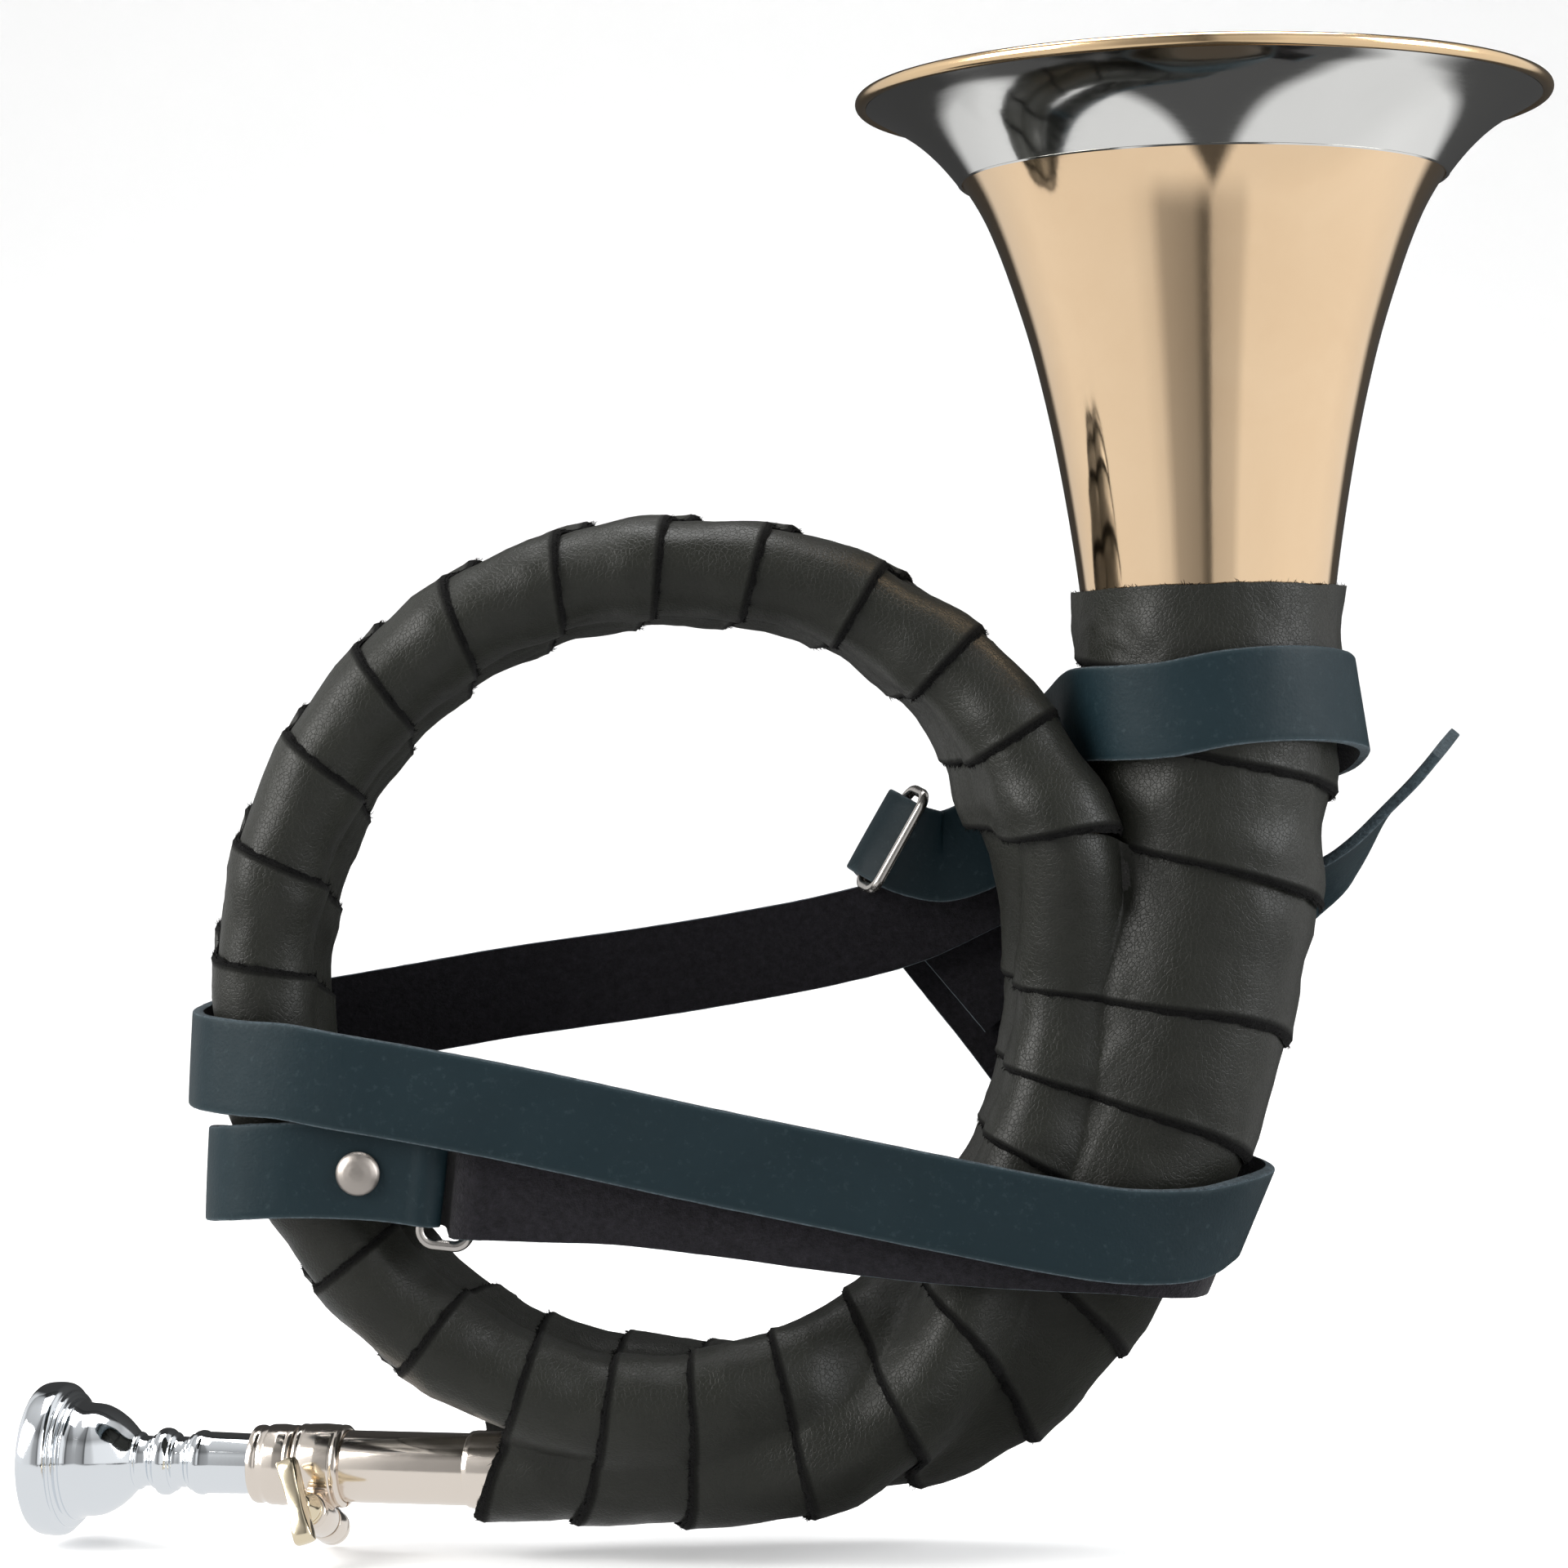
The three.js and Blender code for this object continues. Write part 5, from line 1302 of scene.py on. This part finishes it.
def strap(name, node, stations, grain_side, seed):
    per = 10
    stations = np.array(stations, float)
    centre = spline(stations[:, :3], per)
    place = np.arange(len(centre)) / per
    across = np.stack([np.interp(place, np.arange(len(stations)), stations[:, 3 + i])
                       for i in range(3)], 1)
    for _ in range(4):
        across[1:-1] = 0.25 * across[:-2] + 0.5 * across[1:-1] + 0.25 * across[2:]
    tangent = tangents(centre)
    across = unit(across - tangent * (across * tangent).sum(1)[:, None])
    normal = np.cross(tangent, across)
    run = run_length(centre)
    outline, column_mats = strap_section()
    half_width = STRAP_WIDTH / 2
    rings = np.empty((len(centre), len(outline), 3))
    for i, distance in enumerate(run):
        stretch = 1 + 0.004 * (0.10 * perlin(distance * 0.05, seed, 0.3))
        for j, (x, y) in enumerate(outline):
            if abs(x) > half_width - 0.6:
                fray = (0.09 * perlin(distance * 0.9, x + seed, y * 2)
                        + 0.05 * perlin(distance * 2.7, x + seed, y))
                side, rise = x * stretch + math.copysign(fray, x), y
            else:
                side = x * stretch
                rise = y + 0.05 * perlin(distance * 0.25, x * 0.3, seed)
            rings[i, j] = centre[i] + across[i] * side + normal[i] * (rise * grain_side)
    build_band(name, rings, [STRAP_GRAIN, STRAP_EDGE, STRAP_FLESH], column_mats,
               lambda i, j: (run[i] / 10.0, outline[j % len(outline)][0] / half_width),
               (0, 0), "strap_leather", 60, node)


strap("strap_lower_band", "strap_lower", LOWER_STRAP, grain_side=-1, seed=2.2)
strap("strap_long_band", "strap_long", LONG_STRAP, grain_side=1, seed=5.9)

# rivet that closes the loop of the lower strap
profile = rounded([[0.0, 2.78], [1.3, 2.7], [2.5, 2.42], [3.4, 1.95], [3.85, 1.4], [3.9, 1.1],
                   [3.6, 0.95], [1.5, 0.95], [1.5, -1.2], [0.0, -1.2]], 0.3)
build("rivet_cap_pressed", turned(profile, [-53.8, -22.1, -31.4], [0, -1, 0], 72), [GUNMETAL],
      "horn", "buckle_steel", "rivet_cap", crease=45)

# ------------------------------------------------------------------ buckles
BUCKLE_WIDTH, BUCKLE_CORNER = 8.6, 2.6
FRONT_BUCKLE = np.array([-38.0, -20.3, -33.6])     # its centre
REAR_BUCKLE = np.array([42.4, 9.9, 24.5])          # middle of its bar


def buckle(name, node, body, centre, wide_dir, long_dir, length, wire_radius):
    """rectangular wire loop with round corners"""
    corner_steps, side_steps = 9, 8
    x, y = BUCKLE_WIDTH / 2 - BUCKLE_CORNER, length / 2 - BUCKLE_CORNER
    corners = [(x, y, 0), (-x, y, 90), (-x, -y, 180), (x, -y, 270)]

    def on_arc(corner, deg):
        turn = math.radians(corner[2] + deg)
        return (corner[0] + BUCKLE_CORNER * math.cos(turn),
                corner[1] + BUCKLE_CORNER * math.sin(turn))
    loop = []
    for k, corner in enumerate(corners):
        loop += [on_arc(corner, 90 * i / (corner_steps - 1)) for i in range(corner_steps)]
        start, end = loop[-1], on_arc(corners[(k + 1) % 4], 0)
        loop += [(start[0] + (end[0] - start[0]) * i / side_steps,
                  start[1] + (end[1] - start[1]) * i / side_steps)
                 for i in range(1, side_steps)]
    loop = np.array(loop)
    points = centre + loop[:, 0:1] * wide_dir + loop[:, 1:2] * long_dir
    build(name, wire(points, wire_radius, 18, closed=True), [STEEL], body, "buckle_steel", node)


buckle("buckle_front_wire", "buckle_front_frame", "front_buckle", FRONT_BUCKLE,
       unit([0.99, 0, -0.12]), unit([0.12, 0, 0.99]), length=21.8, wire_radius=0.98)
rear_long = unit(REAR_BAR)
rear_wide = square_to(unit([0.30, -0.94, -0.17]), rear_long)
buckle("buckle_rear_wire", "buckle_rear_frame", "rear_buckle",
       REAR_BUCKLE - rear_wide * (BUCKLE_WIDTH / 2), rear_wide, rear_long, length=19.9,
       wire_radius=0.95)


# ------------------------------------------------------------------ stage
def around(stops):
    """ramp stops from (azimuth in degrees, grey); 0 faces the camera side, minus is left"""
    return [((deg + 180.0) / 360.0, grey) for deg, grey in stops]


# surroundings seen in polished metal: bright panels with dark gaps
PANELS = around([
    (-180, 0.05), (-150, 0.05), (-143, 0.75), (-112, 0.92), (-50, 0.86), (-38, 0.74),
    (-30, 0.40), (-12, 0.30), (-6, 0.12), (-3, 0.14), (0, 0.58), (16, 0.66), (22, 0.92),
    (100, 0.98), (128, 0.9), (136, 0.08), (180, 0.05)])
# ambient light on everything else
AMBIENT = around([(-180, 0.85), (-125, 1.2), (-80, 1.15), (-45, 0.22), (0, 0.10), (45, 0.22),
                  (80, 1.15), (125, 1.2), (180, 0.85)])
FLOOR_GAP = 0.0006                      # metres, as for the rest of the stage
FLOOR_HALF_WIDTH, FLOOR_FRONT, FLOOR_BACK = 3.2, -2.4, 2.2
FLOOR_HEIGHT, FLOOR_CURVE = 3.0, 1.2


def backdrop_paper():
    """white paper; mirror rays see a painted pattern centred on the bell instead"""
    mat = Mat("backdrop_paper")
    obj = mat.coord()
    tone = mat.ramp(mat.noise(obj, scale=3.0, detail=3), [(0.3, 0.0), (0.7, 0.5)])
    tooth = mat.noise(obj, scale=900, detail=4, rough=0.7)
    mat.finish(color=mat.mix(tone, (0.86, 0.86, 0.86), (0.83, 0.83, 0.835)), rough=0.85,
               normal=mat.bump(tooth, depth=0.00008, strength=0.2), spec=0.1,
               glow=0.22, glow_color=(1, 1, 1))
    axes = mat.axes("Object")
    x = mat.calc("SUBTRACT", axes[0], float(row(BELL_AXIS)[0]))
    y = axes[1]
    far = mat.ramp(mat.azimuth(x, y), PANELS)
    # close by: bright to both sides, dark in the middle, at the back and further out
    aside = mat.calc("ABSOLUTE", x)
    border = mat.calc("ADD", mat.calc("MULTIPLY", y, 0.30), 0.088)
    beyond = mat.calc("MULTIPLY", mat.calc("SUBTRACT", aside, border), 8.0)
    lobe = mat.ramp(mat.calc("ADD", beyond, 0.5), [(0.42, 0.0), (0.62, 1.0)])
    behind = mat.ramp(mat.calc("ADD", mat.calc("MULTIPLY", y, 1.0), 0.5),
                      [(0.70, 1.0), (0.82, 0.0)])
    outer = mat.ramp(aside, [(0.40, 1.0), (0.55, 0.0)])
    near = mat.calc("MULTIPLY", mat.calc("MULTIPLY", lobe, behind), outer)
    near = mat.calc("ADD", mat.calc("MULTIPLY", near, 0.78), 0.09)
    distance = mat.calc("SQRT", mat.calc("ADD", mat.calc("MULTIPLY", x, x),
                                         mat.calc("MULTIPLY", y, y)))
    mirror = mat.mix(mat.ramp(distance, [(0.24, 0.0), (0.36, 1.0)]),
                     mat.mix(1.0, near, (1, 1, 1), "MULTIPLY"), far)
    glossy = mat.new("LightPath").outputs["Is Glossy Ray"]
    mat.feed(mat.surface, mat.choose(glossy, mat.shader.outputs[0],
                                     mat.emitter("Emission", mirror, 1.0)))
    return mat.mat


def build_floor():
    """sheet that runs back from the camera side and curves up into a wall"""
    paper = backdrop_paper()
    floor_z = cad_low.z - FLOOR_GAP
    profile = [(FLOOR_FRONT, floor_z)]
    profile += [(FLOOR_BACK - FLOOR_CURVE + FLOOR_CURVE * math.sin(turn),
                 floor_z + FLOOR_CURVE - FLOOR_CURVE * math.cos(turn))
                for turn in np.linspace(0, math.pi / 2, 24)]
    profile.append((FLOOR_BACK, floor_z + FLOOR_HEIGHT))
    verts = [(x, y, z) for y, z in profile for x in (-FLOOR_HALF_WIDTH, FLOOR_HALF_WIDTH)]
    faces = [(2 * i, 2 * i + 1, 2 * i + 3, 2 * i + 2) for i in range(len(profile) - 1)]
    mesh = bpy.data.meshes.new("floor")
    mesh.from_pydata(verts, [], faces)
    mesh.materials.append(paper)
    mesh.polygons.foreach_set("use_smooth", np.ones(len(faces), dtype=bool))
    floor = bpy.data.objects.new("floor", mesh)
    bpy.context.scene.collection.objects.link(floor)


def softbox(name, place, target, width, height, power, color):
    light = bpy.data.lights.new(name, "AREA")
    light.energy = power
    light.color = color
    light.shape = "RECTANGLE"
    light.size = width
    light.size_y = height
    lamp = bpy.data.objects.new(name, light)
    bpy.context.scene.collection.objects.link(lamp)
    lamp.location = place
    lamp.rotation_mode = "QUATERNION"
    lamp.rotation_quaternion = (Vector(target) - Vector(place)).to_track_quat("-Z", "Y")


def build_world():
    """panels for mirror rays, soft ambient for the rest, plain grey for the camera"""
    world = bpy.data.worlds.new("studio")
    bpy.context.scene.world = world
    world.use_nodes = True
    sky = Nodes(world.node_tree)
    x, y, z = sky.axes("Generated")
    azimuth = sky.azimuth(x, y)
    height = sky.calc("ADD", sky.calc("MULTIPLY", z, 0.5), 0.5)
    by_height = sky.ramp(height, [(0.0, 0.35), (0.35, 0.6), (0.5, 1.0), (0.78, 1.0),
                                  (0.86, 0.5), (1.0, 0.85)])
    panels = sky.mix(1.0, sky.ramp(azimuth, PANELS), by_height, "MULTIPLY")
    rays = sky.new("LightPath").outputs
    light = sky.choose(rays["Is Glossy Ray"],
                       sky.emitter("Background", sky.ramp(azimuth, AMBIENT), 0.62),
                       sky.emitter("Background", panels, 1.05))
    seen = sky.choose(rays["Is Camera Ray"], light,
                      sky.emitter("Background", (0.93, 0.93, 0.93), 1.0))
    sky.feed(sky.new("OutputWorld").inputs[0], seen)


def build_camera():
    """camera in front of the ring, looking along +y with a slight roll"""
    lens = bpy.data.cameras.new("camera")
    lens.lens = 94.4
    lens.sensor_width = 36
    lens.sensor_fit = "HORIZONTAL"
    lens.clip_start, lens.clip_end = 0.01, 20
    camera = bpy.data.objects.new("camera", lens)
    bpy.context.scene.collection.objects.link(camera)
    roll = math.radians(0.7)
    right = Vector((math.cos(roll), 0, -math.sin(roll)))
    upward = Vector((math.sin(roll), 0, math.cos(roll)))
    pose = Matrix((right, upward, Vector((0, -1, 0)))).transposed().to_4x4()
    pose.translation = Vector(row([21.34, -740.0, 35.64]))
    camera.matrix_world = pose
    bpy.context.scene.camera = camera


build_floor()
softbox("softbox_left", place=(-1.15, -0.50, 0.55), target=(0, 0, 0.0), width=0.8, height=1.0,
        power=26, color=(1, 0.99, 0.97))
softbox("softbox_right", place=(1.15, -0.42, 0.45), target=(0.05, 0, 0.0), width=0.7,
        height=1.0, power=16.5, color=(0.97, 0.985, 1.0))
softbox("softbox_top", place=(0.0, 0.15, 1.35), target=(0, 0, 0.0), width=1.1, height=0.9,
        power=21, color=(1, 1, 1))
build_world()
build_camera()
bpy.context.scene.view_settings.view_transform = "Standard"
bpy.context.scene.view_settings.look = "None"
